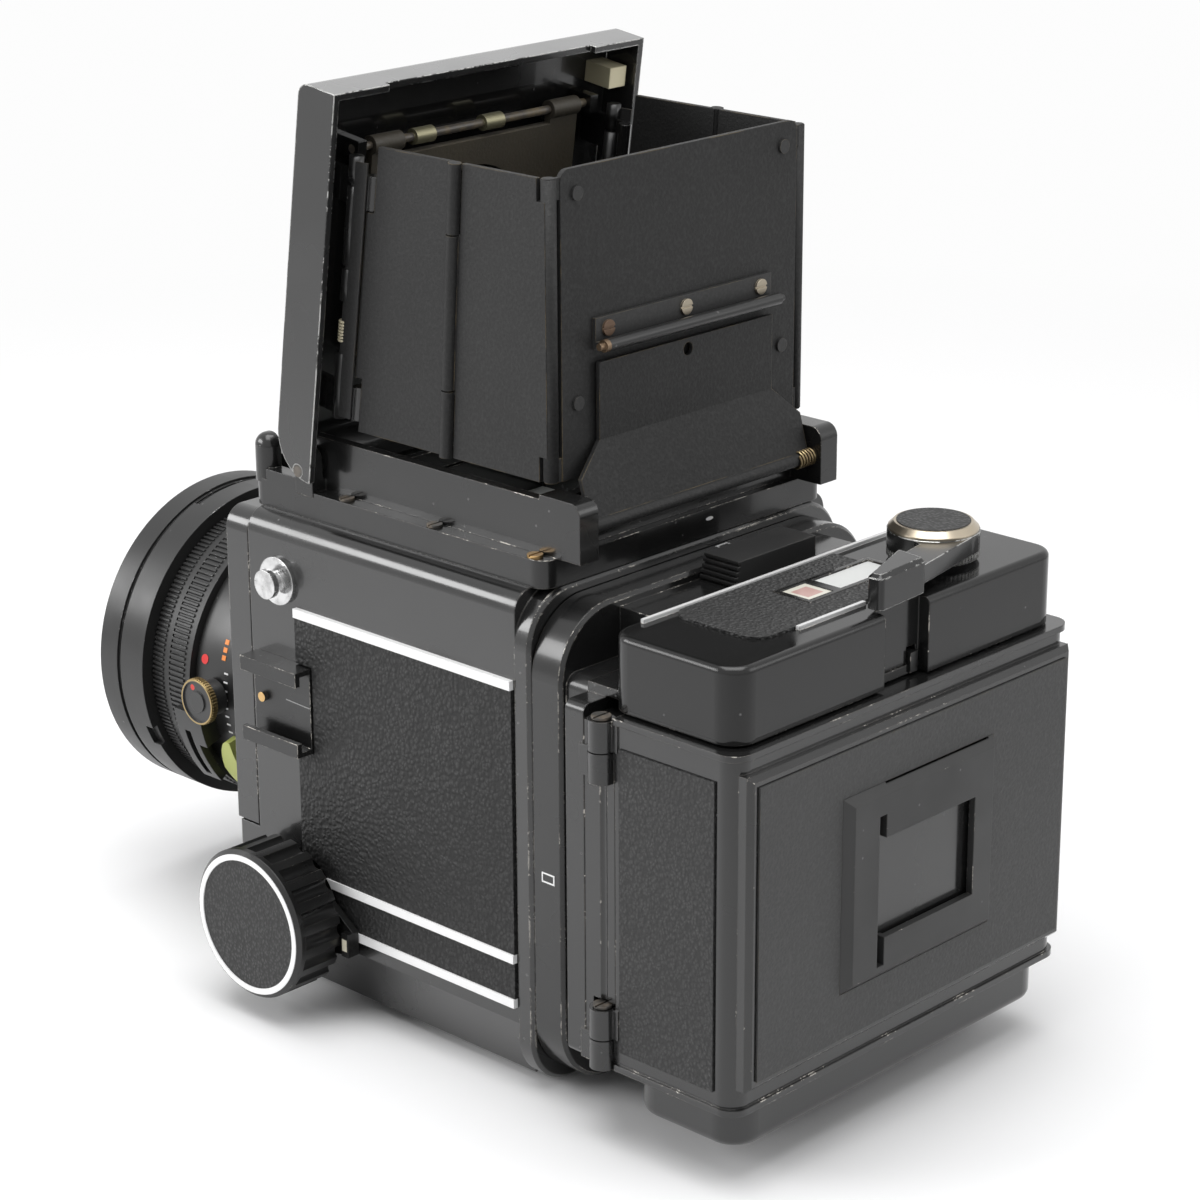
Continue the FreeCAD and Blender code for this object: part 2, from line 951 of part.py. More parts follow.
def accessory_shoe():
    inner = body_half + shoe_plate
    shoe = box(body_half, shoe_outer, shoe_front, shoe_rear, shoe_bottom, shoe_over)
    slot = box(inner, shoe_outer - shoe_lip_thickness, shoe_front, shoe_rear, shoe_middle - shoe_slot / 2,
               shoe_middle + shoe_slot / 2)
    throat = box(inner, shoe_outer, shoe_front, shoe_rear, shoe_middle - shoe_slot / 2 + shoe_lip,
                 shoe_middle + shoe_slot / 2 - shoe_lip)
    return shoe.cut(slot).cut(throat)


# Focusing drive
def rack_outline():
    top = rack_top + tooth_tip
    root = rack_top - tooth_root
    low = rack_top - rack_height
    pitch = math.pi * tooth_module
    start = standard_rear
    end = start + rack_length
    outline = [(start, low), (start, root)]
    for i in range(-pinion_teeth, 4 * pinion_teeth):
        middle = shaft_y + pitch * (i + 0.5)
        if start + 2 < middle < end - 1.5:
            outline += [(middle - tooth_root_half, root), (middle - tooth_tip_half, top),
                        (middle + tooth_tip_half, top), (middle + tooth_root_half, root)]
    return outline + [(end, root), (end, low)]


def focus_racks():
    return pair(prism("x", rack_outline(), rack_x - pinion_width / 2, rack_x + pinion_width / 2))


def focus_shaft():
    shaft = rod("x", shaft_y, shaft_z, shaft_radius, -knob_outer + 4, knob_outer - 4)
    half = pinion_width / 2
    wheels = [gear("x", shaft_y, shaft_z, pinion_radius, pinion_teeth, tooth_root, tooth_tip,
                   tooth_root_half, tooth_tip_half, -math.pi / 2, x - half, x + half)
              for x in (rack_x, -rack_x)]
    return fuse(shaft, *wheels)


def focus_knob():
    knob = rod("x", shaft_y, shaft_z, knob_radius, knob_inner, knob_outer)
    knob = bevel_rim(knob, "x", knob_outer, knob_chamfer)
    for i in range(knob_flutes):
        angle = 2 * math.pi * i / knob_flutes
        knob = knob.cut(rod("x", shaft_y + knob_flute_reach * math.cos(angle),
                            shaft_z + knob_flute_reach * math.sin(angle), knob_flute_radius,
                            knob_inner, knob_outer - knob_rim))
    knob = knob.cut(rod("x", shaft_y, shaft_z, knob_ring_outer, knob_outer - knob_dish, knob_outer))
    knob = knob.cut(rod("x", shaft_y, shaft_z, shaft_radius, knob_inner, knob_outer - 4))
    ring = tube("x", shaft_y, shaft_z, knob_ring_outer, knob_cap_radius, knob_outer - knob_dish,
                knob_outer + 0.1)
    cap = rod("x", shaft_y, shaft_z, knob_cap_radius, knob_outer - knob_dish, knob_outer - 0.1)
    return knob, ring, cap


def focus_lock_lever():
    outer = lever_inner + lock_lever_width
    reach = shaft_y + lock_lever_reach
    ring = tube("x", shaft_y, shaft_z, lock_ring_radius, boss_radius + fit, lever_inner, outer)
    arm = prism("x", [(shaft_y + 8.5, shaft_z + 8), (reach, shaft_z - 0.5), (reach, shaft_z - 6.5),
                      (shaft_y + 7.0, shaft_z - 9)], lever_inner, outer)
    arm = arm.cut(rod("x", shaft_y, shaft_z, boss_radius + fit, lever_inner, outer))
    tab = box(lever_inner, outer + lock_tab, reach - 2.2, reach, shaft_z - 6.5, shaft_z - 0.5)
    return fuse(ring, arm, tab)


# Front standard, bellows and release
def front_standard():
    slab = box(-body_half, body_half, standard_front, standard_rear, cheek_height + 0.5, standard_top)
    slab = round_edges(slab, "y", standard_corner, lambda m: m.z > standard_top - 1)
    foot = box(-standard_foot_half, standard_foot_half, standard_front, standard_rear, standard_foot,
               cheek_height + 3)
    foot = round_edges(foot, "y", standard_foot_corner, lambda m: m.z < standard_foot + 1)
    slab = bevel_rim(fuse(slab, foot), "y", standard_front, standard_bevel)
    opening = rod("y", 0, axis_height, standard_opening, standard_front, standard_rear)
    recess = rod("y", 0, axis_height, mount_radius, standard_front, standard_front + mount_recess)
    return slab.cut(opening).cut(recess)


def square_loop(half, y):
    corners = [V(-half, y, axis_height - half), V(half, y, axis_height - half),
               V(half, y, axis_height + half), V(-half, y, axis_height + half)]
    return Part.makePolygon(corners + corners[:1])


def bellows():
    fold = (chamber_front - bellows_setback - standard_rear) / (2 * bellows_pleats)
    outer = []
    inner = []
    for i in range(2 * bellows_pleats + 1):
        half = bellows_half - bellows_fold * (i % 2)
        outer.append(square_loop(half, standard_rear + fold * i))
        inner.append(square_loop(half - bellows_wall + bellows_fold, standard_rear + fold * i))
    return Part.makeLoft(outer, True, True).cut(Part.makeLoft(inner, True, True))


def release_button():
    front = cheek_front - release_proud
    button = rod("y", release_x, release_z, release_radius, front, front + release_length)
    button = bevel_rim(button, "y", front, 0.6)
    return button.cut(rod("y", release_x, release_z, cable_hole_radius, front, front + cable_hole_depth))


def release_lock_ring():
    front = cheek_front - release_ring_depth
    ring = tube("y", release_x, release_z, release_ring_radius, release_radius + fit, front, cheek_front)
    grip = box(release_x - release_grip / 2, release_x + release_grip / 2, front, cheek_front,
               release_z + release_ring_radius - 1, release_z + release_ring_radius + 2)
    return fuse(ring, grip)


def cocking_lever():
    outer = cocking_inner - cocking_hub_width
    tip = cocking_z + cocking_length
    hub = rod("x", cocking_y, cocking_z, cocking_hub_radius, outer, cocking_inner)
    arm = prism("x", [(cocking_y - cocking_root_half, cocking_z), (cocking_y + cocking_root_half, cocking_z),
                      (cocking_y + cocking_tip_half, tip), (cocking_y - cocking_tip_half, tip)],
                outer, outer + cocking_arm_width)
    grip = soft_box(outer + cocking_arm_width - cocking_grip_width, outer + cocking_arm_width,
                    cocking_y - cocking_grip_half, cocking_y + cocking_grip_half,
                    tip - cocking_grip_length, tip + 2, "x", 3)
    lever = fuse(hub, arm, grip).cut(rod("x", cocking_y, cocking_z, cocking_pin_radius + fit, outer,
                                         cocking_inner))
    return turned(lever, "x", cocking_y, cocking_z, -cocking_lean)


# Reflex mirror and focusing screen
def mirror_slope(solid):
    return turned(solid, "x", mirror_hinge_y, mirror_hinge_z, 45)


def mirror_frame():
    low = mirror_hinge_z - mirror_frame_thickness / 2
    plate = box(-mirror_half_width, mirror_half_width, mirror_hinge_y - mirror_length, mirror_hinge_y,
                low, low + mirror_frame_thickness)
    pivot = rod("x", mirror_hinge_y, mirror_hinge_z, mirror_pin_radius + 1.2, -mirror_half_width,
                mirror_half_width)
    bore = rod("x", mirror_hinge_y, mirror_hinge_z, mirror_pin_radius + fit, -mirror_half_width,
               mirror_half_width)
    return mirror_slope(fuse(plate, pivot).cut(bore))


def mirror_glass():
    low = mirror_hinge_z + mirror_frame_thickness / 2
    half = mirror_half_width - mirror_glass_inset
    return mirror_slope(box(-half, half, mirror_hinge_y - mirror_length + mirror_glass_inset,
                            mirror_hinge_y - mirror_glass_start, low, low + mirror_glass_thickness))


def focusing_screen():
    low = chamber_roof + screen_ledge
    return box(-screen_half, screen_half, screen_front, screen_rear, low, low + screen_thickness)


# Lens
def lens_tube(outer, inner, start, end):
    return tube("y", 0, axis_height, outer, inner, start, end)


def lens_wedge(span, start, end):
    reach = 2 * front_radius
    corners = [(reach * math.cos(math.radians(angle)), axis_height + reach * math.sin(math.radians(angle)))
               for angle in span]
    return prism("y", [(0, axis_height)] + corners, start, end)


def lens_barrel():
    inner = throat_radius - tube_wall
    throat = lens_tube(throat_radius, inner, standard_front, standard_front + throat_length)
    neck = lens_tube(ring_step, inner, lock_ring_front, standard_front + mount_recess)
    band = lens_tube(band_radius, ring_step - tube_wall, band_front, lock_ring_front)
    core = lens_tube(ring_step, ring_step - tube_wall, front_rear, band_front)
    seat = lens_tube(inner + 1, rear_glass_radius, rear_glass_y - 2, rear_glass_y + 2)
    case = lens_tube(ring_step - tube_wall + 1, blade_outer - 3, blade_y + blade_thickness,
                     blade_y + case_depth)
    stem = rod("x", mirror_knob_y, axis_height, mirror_knob_stem + fit, ring_step - tube_wall,
               band_radius + 1)
    return fuse(throat, neck, band, core, seat, case).cut(stem)


def lens_lock_ring():
    ring = lens_tube(ring_radius, ring_step + fit, lock_ring_front + gap, lock_ring_rear)
    ears = []
    for i in range(lock_ring_ears):
        ear = box(-ear_half, ear_half, lock_ring_front + gap, lock_ring_rear, axis_height + ring_radius - 3,
                  axis_height + ring_radius + ear_proud)
        ears.append(turned(ear, "y", 0, axis_height, 360 / lock_ring_ears * (i + 0.5)))
    return fuse(ring, *ears)


def grip_ring(front, rear, depth, count):
    skirt = rear - ring_skirt
    grip = ribbed("y", 0, axis_height, ring_radius, depth, count, front, skirt)
    grip = grip.cut(rod("y", 0, axis_height, ring_step + fit, front, skirt))
    return fuse(grip, lens_tube(ring_radius - ring_skirt_drop, ring_step + fit, skirt, rear))


def lens_front_barrel():
    seat = lens_front + filter_depth
    barrel = lens_tube(front_radius, front_step, lens_front, front_rear)
    barrel = fuse(barrel, lens_tube(front_step, front_glass_radius, seat + 4, front_rear))
    groove = lens_tube(front_radius + 1, front_radius - groove_depth, groove_front, groove_rear)
    thread = rod("y", 0, axis_height, filter_radius, lens_front, seat)
    flare = Part.makeCone(filter_radius - 1, front_glass_radius + 1, flare_length, V(0, seat, axis_height), Y)
    barrel = barrel.cut(groove).cut(thread).cut(flare)
    for start, end, first, last in slot_spans:
        ring = lens_tube(front_radius + 1, front_radius - slot_cut, start, end)
        barrel = barrel.cut(ring.common(lens_wedge((first, last), start, end)))
    return barrel


def lens_glasses():
    front = lens_glass(front_glass_radius, front_rear - 5, axis_height, glass_edge, front_glass_bulge)
    rear = lens_glass(rear_glass_radius, rear_glass_y, axis_height, glass_edge, rear_glass_bulge)
    return group(front, rear)


def iris_blades():
    blades = []
    steps = 8
    for i in range(blade_count):
        start = 2 * math.pi * i / blade_count
        end = start + 2 * math.pi / blade_count - 0.04
        spots = [(blade_outer, start + (end - start) * step / steps) for step in range(steps + 1)]
        spots += [(blade_inner, end), (blade_inner, start)]
        outline = [(reach * math.cos(angle), axis_height + reach * math.sin(angle)) for reach, angle in spots]
        blades.append(prism("y", outline, blade_y, blade_y + blade_thickness))
    return group(*blades)


def mirror_up_knob():
    rim_start = mirror_knob_end - mirror_knob_rim
    face = mirror_knob_end - mirror_knob_dish
    rim = ribbed("x", mirror_knob_y, axis_height, mirror_knob_radius, 0.3, mirror_knob_rib_count, rim_start,
                 face)
    bead = tube("x", mirror_knob_y, axis_height, mirror_knob_radius - 0.2, mirror_knob_radius - 0.8,
                rim_start, mirror_knob_end)
    neck = rod("x", mirror_knob_y, axis_height, mirror_knob_neck, mirror_knob_start, rim_start)
    boss = rod("x", mirror_knob_y, axis_height, mirror_knob_boss, rim_start, mirror_knob_end)
    stem = rod("x", mirror_knob_y, axis_height, mirror_knob_stem, ring_step - tube_wall, mirror_knob_start)
    return fuse(rim, bead, neck, boss, stem)


def preview_lever():
    arm = lens_tube(preview_outer, preview_inner, preview_front, preview_rear)
    arm = arm.common(lens_wedge(preview_span, preview_front, preview_rear))
    slot = lens_tube(preview_outer + 1, preview_outer - preview_slot_depth, preview_slot_front,
                     preview_slot_rear)
    arm = arm.cut(slot.common(lens_wedge(preview_slot_span, preview_slot_front, preview_slot_rear)))
    root = lens_tube(preview_outer, band_radius + fit, preview_rear, preview_root)
    return fuse(arm, root.common(lens_wedge(preview_root_span, preview_rear, preview_root)))


# Finder base
def finder_base():
    lower = soft_box(-finder_half, finder_half, finder_front, finder_rear, body_top, finder_ledge, "z",
                     finder_corner)
    gallery = box(-gallery_half, gallery_half, gallery_reach, gallery_rear, finder_ledge - 1, gallery_top)
    gallery = round_edges(gallery, "z", end_radius, lambda m: m.y > gallery_reach + 1)
    inner = box(-gallery_inner, gallery_inner, gallery_reach, gallery_rear - gallery_rear_wall,
                finder_ledge - 1, gallery_top)
    parts = [gallery.cut(inner)]
    parts.append(box(-gallery_half + 1, gallery_half - 1, gallery_front, gallery_front + gallery_front_wall,
                     finder_ledge - 1, gallery_front_top))
    parts.append(box(-ear_inner - 1, ear_inner + 1, ear_front, ear_front + rail_width, finder_ledge - 1,
                     finder_ledge + rail_height))
    for side in (1, -1):
        post = box(side * post_inner, side * gallery_half, post_front, post_rear, finder_ledge, post_top)
        parts.append(round_edges(post, "x", end_radius, lambda m: m.z > post_top - 1 and m.y > gallery_rear))
        lug = box(side * lug_inner, side * lug_outer, lug_front, lug_rear, finder_ledge - 1, lug_top)
        parts.append(round_edges(lug, "x", lug_radius, lambda m: m.z > lug_top - 1))
        parts.append(box(side * gallery_half, side * finder_half, ear_rear - 1, lug_rear, finder_ledge - 1,
                         finder_ledge + curb_height))
        ear = box(side * ear_inner, side * finder_half, ear_front, ear_rear, finder_ledge - 1, ear_top)
        ear = round_edges(ear, "x", end_radius, lambda m: m.z > ear_top - 1)
        parts.append(round_edges(ear, "z", end_radius,
                                 lambda m: m.y < ear_front + 1 and abs(m.x) > finder_half - 1))
    base = fuse(lower, *parts)
    base = base.cut(box(-finder_opening_half, finder_opening_half, finder_opening_front, finder_opening_rear,
                        body_top, finder_ledge))
    base = base.cut(rod("x", lid_pivot_y, lid_pivot_z, lid_pin_radius, -lid_half, lid_half))
    return base.cut(rod("x", link_pivot_y, link_pivot_z, link_pin_radius, -link_pin_half, link_pin_half))


# Hood lid and magnifier
def lid_block(inset):
    front = lid_front + inset
    block = box(-lid_half + inset, lid_half - inset, front, lid_rim, lid_bottom + inset, lid_top - inset)
    block = round_edges(block, "x", lid_heel - inset, lambda m: m.y < front + 1 and m.z < lid_pivot_z)
    return round_edges(block, "x", lid_brow - inset / 2, lambda m: m.y < front + 1 and m.z > lid_top - 9)


def lid_bracket(low):
    high = low + bracket_height
    y = lid_rim + fold_offset
    inner = wall_inner + gap
    strip = box(inner, inner + bracket_thickness, lid_front + lid_wall, y, low, high)
    return fuse(strip, rod("z", fold_front_x, y, knuckle_radius, low, high))


def magnifier_bracket():
    half = magnifier_knuckle_radius
    block = box(magnifier_bracket_inner, magnifier_bracket_outer, lid_front + lid_wall, magnifier_y + half,
                magnifier_pivot_z - half, magnifier_pivot_z + half)
    return block.cut(rod("x", magnifier_y, magnifier_pivot_z, magnifier_rod_radius, magnifier_bracket_inner,
                         magnifier_bracket_outer))


def hood_lid():
    shell = lid_block(0).cut(lid_block(lid_wall))
    shell = shell.cut(box(-lid_notch_half, lid_notch_half, lid_rim - lid_notch_depth, lid_rim,
                          lid_top - lid_wall, lid_top))
    for side in (1, -1):
        shell = shell.cut(box(side * (gallery_inner - 2 * gap), side * (lid_half - lid_wall),
                              lid_front + lid_wall, lid_rim, lid_bottom, lug_top + 1))
    parts = []
    for low in (bracket_low, bracket_high):
        bracket = lid_bracket(low)
        parts += [bracket, mirrored(bracket)]
    holder = magnifier_bracket()
    shell = leaned(fuse(shell, *parts, holder, mirrored(holder)))
    for side in (1, -1):
        shell = shell.cut(rod("x", lid_pivot_y, lid_pivot_z, lid_pin_radius + fit,
                              side * (lid_half - lid_wall), side * lid_half))
    return shell


def magnifier_rod():
    bar = rod("x", magnifier_y, magnifier_pivot_z, magnifier_rod_radius, -magnifier_bracket_outer,
              magnifier_bracket_outer)
    coils = [tube("x", magnifier_y, magnifier_pivot_z, spring_radius, magnifier_rod_radius, low, high)
             for low, high in spring_places]
    return leaned(group(bar, *coils))


def magnifier_frame():
    front = magnifier_y - magnifier_thickness / 2
    rear = magnifier_y + magnifier_thickness / 2
    plate = box(-magnifier_half, magnifier_half, front, rear, magnifier_low,
                magnifier_pivot_z - magnifier_shoulder)
    plate = round_edges(plate, "y", magnifier_corner, lambda m: m.z < magnifier_low + 1)
    parts = []
    for side in (1, -1):
        near = side * magnifier_knuckle_inner
        far = side * magnifier_half
        parts.append(rod("x", magnifier_y, magnifier_pivot_z, magnifier_knuckle_radius, near, far))
        parts.append(box(near, far, front, rear, magnifier_pivot_z - magnifier_shoulder - 1,
                         magnifier_pivot_z))
    frame = fuse(plate, *parts)
    frame = frame.cut(rod("y", 0, magnifier_middle, magnifier_lens_radius, front, rear))
    return leaned(frame.cut(rod("x", magnifier_y, magnifier_pivot_z, magnifier_rod_radius + fit,
                                -magnifier_half, magnifier_half)))


def magnifier_lens():
    return leaned(lens_glass(magnifier_lens_radius, magnifier_y, magnifier_middle, magnifier_thickness,
                             magnifier_lens_bulge))


def magnifier_catch():
    front = lid_front + lid_wall
    return leaned(box(catch_left - catch_width, catch_left, front, front + catch_depth, catch_low,
                      catch_low + catch_height))


# Hood walls
def fold_knuckle(x, y_at, low, high):
    start = V(x, y_at(low), low)
    run = V(x, y_at(high), high).sub(start)
    return Part.makeCylinder(knuckle_radius, run.Length, start, run)


def fold_edge(y_at, steps):
    return [(y_at(z) + shift, z) for shift, z in steps]


def fold_sheet(near, far):
    return prism("x", near + far, wall_inner, wall_inner + wall_thickness)


def side_front():
    low = middle_split_low - gap
    high = middle_split_high + gap
    near = fold_edge(fold_front_y, ((leaf_margin, wall_bottom), (leaf_margin, front_knuckle_low),
                                    (-leaf_overlap, front_knuckle_low), (-leaf_overlap, front_knuckle_high),
                                    (leaf_margin, front_knuckle_high), (leaf_margin, wall_top)))
    far = fold_edge(fold_middle_y, ((leaf_overlap, wall_top), (leaf_overlap, high), (-leaf_margin, high),
                                    (-leaf_margin, low), (leaf_overlap, low), (leaf_overlap, wall_bottom)))
    return fuse(fold_sheet(near, far),
                fold_knuckle(fold_front_x, fold_front_y, front_knuckle_low, front_knuckle_high),
                fold_knuckle(fold_middle_x, fold_middle_y, wall_bottom, low),
                fold_knuckle(fold_middle_x, fold_middle_y, high, wall_top))


def side_rear():
    near = fold_edge(fold_middle_y, ((leaf_margin, wall_bottom), (leaf_margin, middle_split_low),
                                     (-leaf_overlap, middle_split_low), (-leaf_overlap, middle_split_high),
                                     (leaf_margin, middle_split_high), (leaf_margin, wall_top)))
    far = fold_edge(fold_corner_y, ((-leaf_margin, wall_top), (-leaf_margin, corner_high),
                                    (leaf_overlap, corner_high), (leaf_overlap, corner_low),
                                    (-leaf_margin, corner_low), (-leaf_margin, wall_bottom)))
    return fuse(fold_sheet(near, far),
                fold_knuckle(fold_middle_x, fold_middle_y, middle_split_low, middle_split_high),
                fold_knuckle(fold_front_x, fold_corner_y, corner_low, corner_high))


def hood_rear_panel():
    panel = box(-panel_half, panel_half, panel_front, panel_rear, wall_bottom, panel_top)
    parts = []
    for side in (1, -1):
        for low, high in ((wall_bottom, corner_low - gap), (corner_high + gap, wall_top)):
            parts.append(rod("z", side * fold_front_x, fold_rear_y, knuckle_radius, low, high))
            parts.append(box(side * (panel_half - leaf_overlap), side * fold_front_x, panel_front,
                             panel_front + 1, low, high))
    return fuse(round_edges(panel, "y", panel_corner, lambda m: m.z > panel_top - 1), *parts)


def hood_hinge_leaf():
    leaf = box(-leaf_half, leaf_half, panel_rear, panel_rear + leaf_thickness, leaf_bottom, leaf_top)
    web = box(-leaf_half, leaf_half, panel_rear, roll_y, roll_z - roll_web, roll_z + roll_web)
    roll = rod("x", roll_y, roll_z, roll_radius, -leaf_half, leaf_half)
    leaf = fuse(leaf, web, roll).cut(rod("x", roll_y, roll_z, rod_radius, -leaf_half, leaf_half))
    screws = [screw("y", x, leaf_screw_z, panel_rear + leaf_thickness, 1, screw_radius) for x in leaf_screws]
    rivets = [rod("y", x, z, rivet_radius, panel_rear, panel_rear + screw_height) for x, z in rivet_places]
    return group(leaf, rod("x", roll_y, roll_z, rod_radius, -rod_half, rod_half), *screws, *rivets)


def hood_link_plate():
    outline = [(link_half_top, link_top), (link_half_top, link_fold), (link_half_bottom, link_spread),
               (link_half_bottom, link_pivot_z)]
    outline += [(-x, z) for x, z in reversed(outline)]
    bent = prism("x", [(link_front, link_top), (link_rear, link_top), (link_rear, link_fold),
                       (link_pivot_y + link_thickness / 2, link_pivot_z),
                       (link_pivot_y - link_thickness / 2, link_pivot_z), (link_front, link_fold)],
                 -link_half_bottom, link_half_bottom)
    sheet = bent.common(prism("y", outline, link_front, link_pivot_y + link_thickness))
    sheet = sheet.cut(rod("y", 0, link_top - link_hole_drop, link_hole, link_front, link_rear))
    roll = rod("x", link_pivot_y, link_pivot_z, link_roll_radius, -link_half_bottom, link_half_bottom)
    return fuse(sheet, roll).cut(rod("x", link_pivot_y, link_pivot_z, link_pin_radius + fit,
                                     -link_half_bottom, link_half_bottom))


# Turning adapter and back locks
def revolving_adapter():
    low = axis_height - adapter_half_height
    high = axis_height + adapter_half_height
    plate = soft_box(-adapter_half_width, adapter_half_width, adapter_front, adapter_rear, low, high, "y",
                     adapter_corner)
    plate = bevel_rim(plate, "y", adapter_rear, 0.8)
    spigot = rod("y", 0, axis_height, spigot_radius, adapter_front - spigot_length, adapter_front)
    holder = soft_box(-holder_half_width, holder_half_width, adapter_rear, holder_rear, holder_bottom,
                      holder_top, "y", 3)
    shelf = box(shelf_right, shelf_left, adapter_rear - 1, shelf_rear, shelf_bottom, shelf_top)
    shelf = round_edges(shelf, "z", end_radius, lambda m: m.y > shelf_rear - 1)
    neck = box(shelf_right, shelf_left, adapter_rear - 1, holder_rear, holder_top - 1, shelf_bottom + 1)
    foot = box(-shelf_left, -shelf_right, adapter_rear - 1, foot_rear, foot_bottom, foot_top)
    heel = box(-shelf_left, -shelf_right, adapter_rear - 1, holder_rear, foot_bottom, holder_bottom + 1)
    window = box(-gate_half, gate_half, adapter_front + 4, holder_rear, axis_height - gate_half,
                 axis_height + gate_half)
    bore = rod("y", 0, axis_height, spigot_radius - spigot_wall, adapter_front - spigot_length,
               adapter_front + 4)
    return fuse(plate, spigot, holder, shelf, neck, foot, heel).cut(window).cut(bore)


def slider_outline(rise):
    step = rise / slider_ribs
    outline = [(slider_right, 0), (slider_right, rise)]
    for i in range(slider_ribs):
        x = slider_left - slider_ramp * (1 - (i + 1) / slider_ribs)
        high = rise - step * i
        low = high - step * slider_rib_share
        outline += [(x, high), (x, low), (x - slider_rib_depth, low), (x - slider_rib_depth, high - step)]
    return outline


def lock_slider_top():
    return prism("y", [(x, shelf_top + h) for x, h in slider_outline(slider_height)], slider_front,
                 slider_rear)


def lock_slider_bottom():
    return prism("y", [(-x, foot_bottom - h) for x, h in slider_outline(slider_low_height)], slider_front,
                 slider_rear)


# Film back
def back_tray():
    tray = box(-tray_half, tray_half, tray_front, tray_rear, tray_bottom, back_bottom)
    tray = round_edges(tray, "z", tray_corner)
    return tray.makeFillet(tray_edge, level_edges(tray, "z", tray_bottom))


def back_cheek(side):
    cheek = box(side * (rim_half - rim_wall), side * cheek_half, back_rear, rim_rear, rim_low, rim_high)
    for low in hinge_levels:
        start = low + hinge_knuckle
        end = start + hinge_knuckle + screw_height + 3 * gap
        cheek = cheek.cut(rod("z", hinge_x, hinge_y, hinge_radius + gap, start, end))
        cheek = cheek.cut(box(hinge_x - hinge_leaf - gap, hinge_x, hinge_y, rim_rear, start, end))
    return cheek


def back_frame():
    plate = soft_box(-back_half, back_half, back_front, back_rear, back_bottom, back_top, "y", back_corner)
    top = box(-deck_half, deck_half, back_front, back_rear, back_top - 1, deck_high)
    deck = box(-deck_half, deck_half, back_front, deck_rear, deck_low, deck_high)
    rim = box(-rim_half, rim_half, back_rear, rim_rear, rim_low, rim_high)
    rim = rim.cut(box(-rim_half + rim_wall, rim_half - rim_wall, back_rear, rim_rear, rim_low + rim_wall,
                      rim_high - rim_wall))
    neck = box(-neck_half, neck_half, back_front, tray_front + 1, neck_bottom, back_bottom)
    spindle = rod("z", dial_x, dial_y, dial_post, deck_high, housing_high - housing_wall)
    parts = [top, deck, rim, neck, back_tray(), back_cheek(1), back_cheek(-1), spindle]
    for low in hinge_levels:
        parts.append(rod("z", hinge_x, hinge_y, hinge_radius, low, low + hinge_knuckle))
        parts.append(box(rim_half - 1, hinge_x, back_rear - 1, hinge_y + 1.5, low, low + hinge_knuckle))
    frame = fuse(plate, *parts)
    half_w = gate_width / 2
    half_h = gate_height / 2
    frame = frame.cut(box(-half_w, half_w, back_front, back_rear, axis_height - half_h, axis_height + half_h))
    frame = frame.cut(box(-back_half, slide_inner + 0.5, slide_slot_front,
                          slide_slot_front + slide_slot_depth, slide_low - 0.2, slide_high + 0.2))
    frame = frame.cut(rod("z", hinge_x, hinge_y, hinge_pin_radius, back_bottom, back_top + 1))
    return frame.cut(rod("z", spool_x, spool_y, spool_shaft_radius + fit, rim_high - 3, deck_high))


def dark_slide():
    front = slide_slot_front + (slide_slot_depth - slide_thickness) / 2
    rear = front + slide_thickness
    root = -back_half - gap
    blade = box(root, slide_inner, front, rear, slide_low, slide_high)
    handle = box(root - slide_handle_width, root, front - slide_handle_proud, rear + slide_handle_proud,
                 slide_low + slide_handle_margin, slide_high - slide_handle_margin)
    return fuse(blade, round_edges(handle, "y", 2.5, lambda m: m.x < root - 1))


def hinge_pins():
    pins = []
    for low in hinge_levels:
        high = low + 2 * hinge_knuckle + gap
        pins.append(fuse(rod("z", hinge_x, hinge_y, hinge_pin_radius, low, high + 0.2),
                         screw("z", hinge_x, hinge_y, high + 0.1, 1, hinge_head_radius)))
    return group(*pins)


def back_cover():
    shell = box(-cover_half, cover_half, cover_front, cover_rear, cover_low, cover_high)
    parts = []
    for low in (cover_low, cover_high - cover_rim_height):
        band = box(-cover_half - cover_rim, cover_half + cover_rim, cover_front, cover_rear + cover_rim, low,
                   low + cover_rim_height)
        parts.append(round_edges(band, "z", cover_corner, lambda m: m.y > cover_rear))
    panel = box(-cover_panel_half, cover_panel_half, cover_rear - 1, cover_over, cover_panel_low,
                cover_panel_high)
    parts.append(bevel_rim(panel, "y", cover_over, cover_panel_edge))
    shell = fuse(round_edges(shell, "z", cover_corner, lambda m: m.y > cover_rear - 1), *parts)
    shell = shell.cut(box(-cover_half + cover_wall, cover_half - cover_wall, cover_front,
                          cover_rear - cover_wall, cover_low + cover_wall, cover_high - cover_wall))
    knuckles = []
    for low in hinge_levels:
        start = low + hinge_knuckle + gap
        end = start + hinge_knuckle
        knuckles.append(rod("z", hinge_x, hinge_y, hinge_radius, start, end))
        knuckles.append(box(hinge_x - hinge_leaf, hinge_x, hinge_y, cover_front + 1, start, end))
    cover = fuse(shell, *knuckles)
    clear = spool_shaft_radius + 1
    cover = cover.cut(box(spool_x - clear, spool_x + clear, cover_front, spool_y + clear,
                          cover_high - cover_wall, cover_high))
    return cover.cut(rod("z", hinge_x, hinge_y, hinge_pin_radius + fit, cover_low, cover_high))


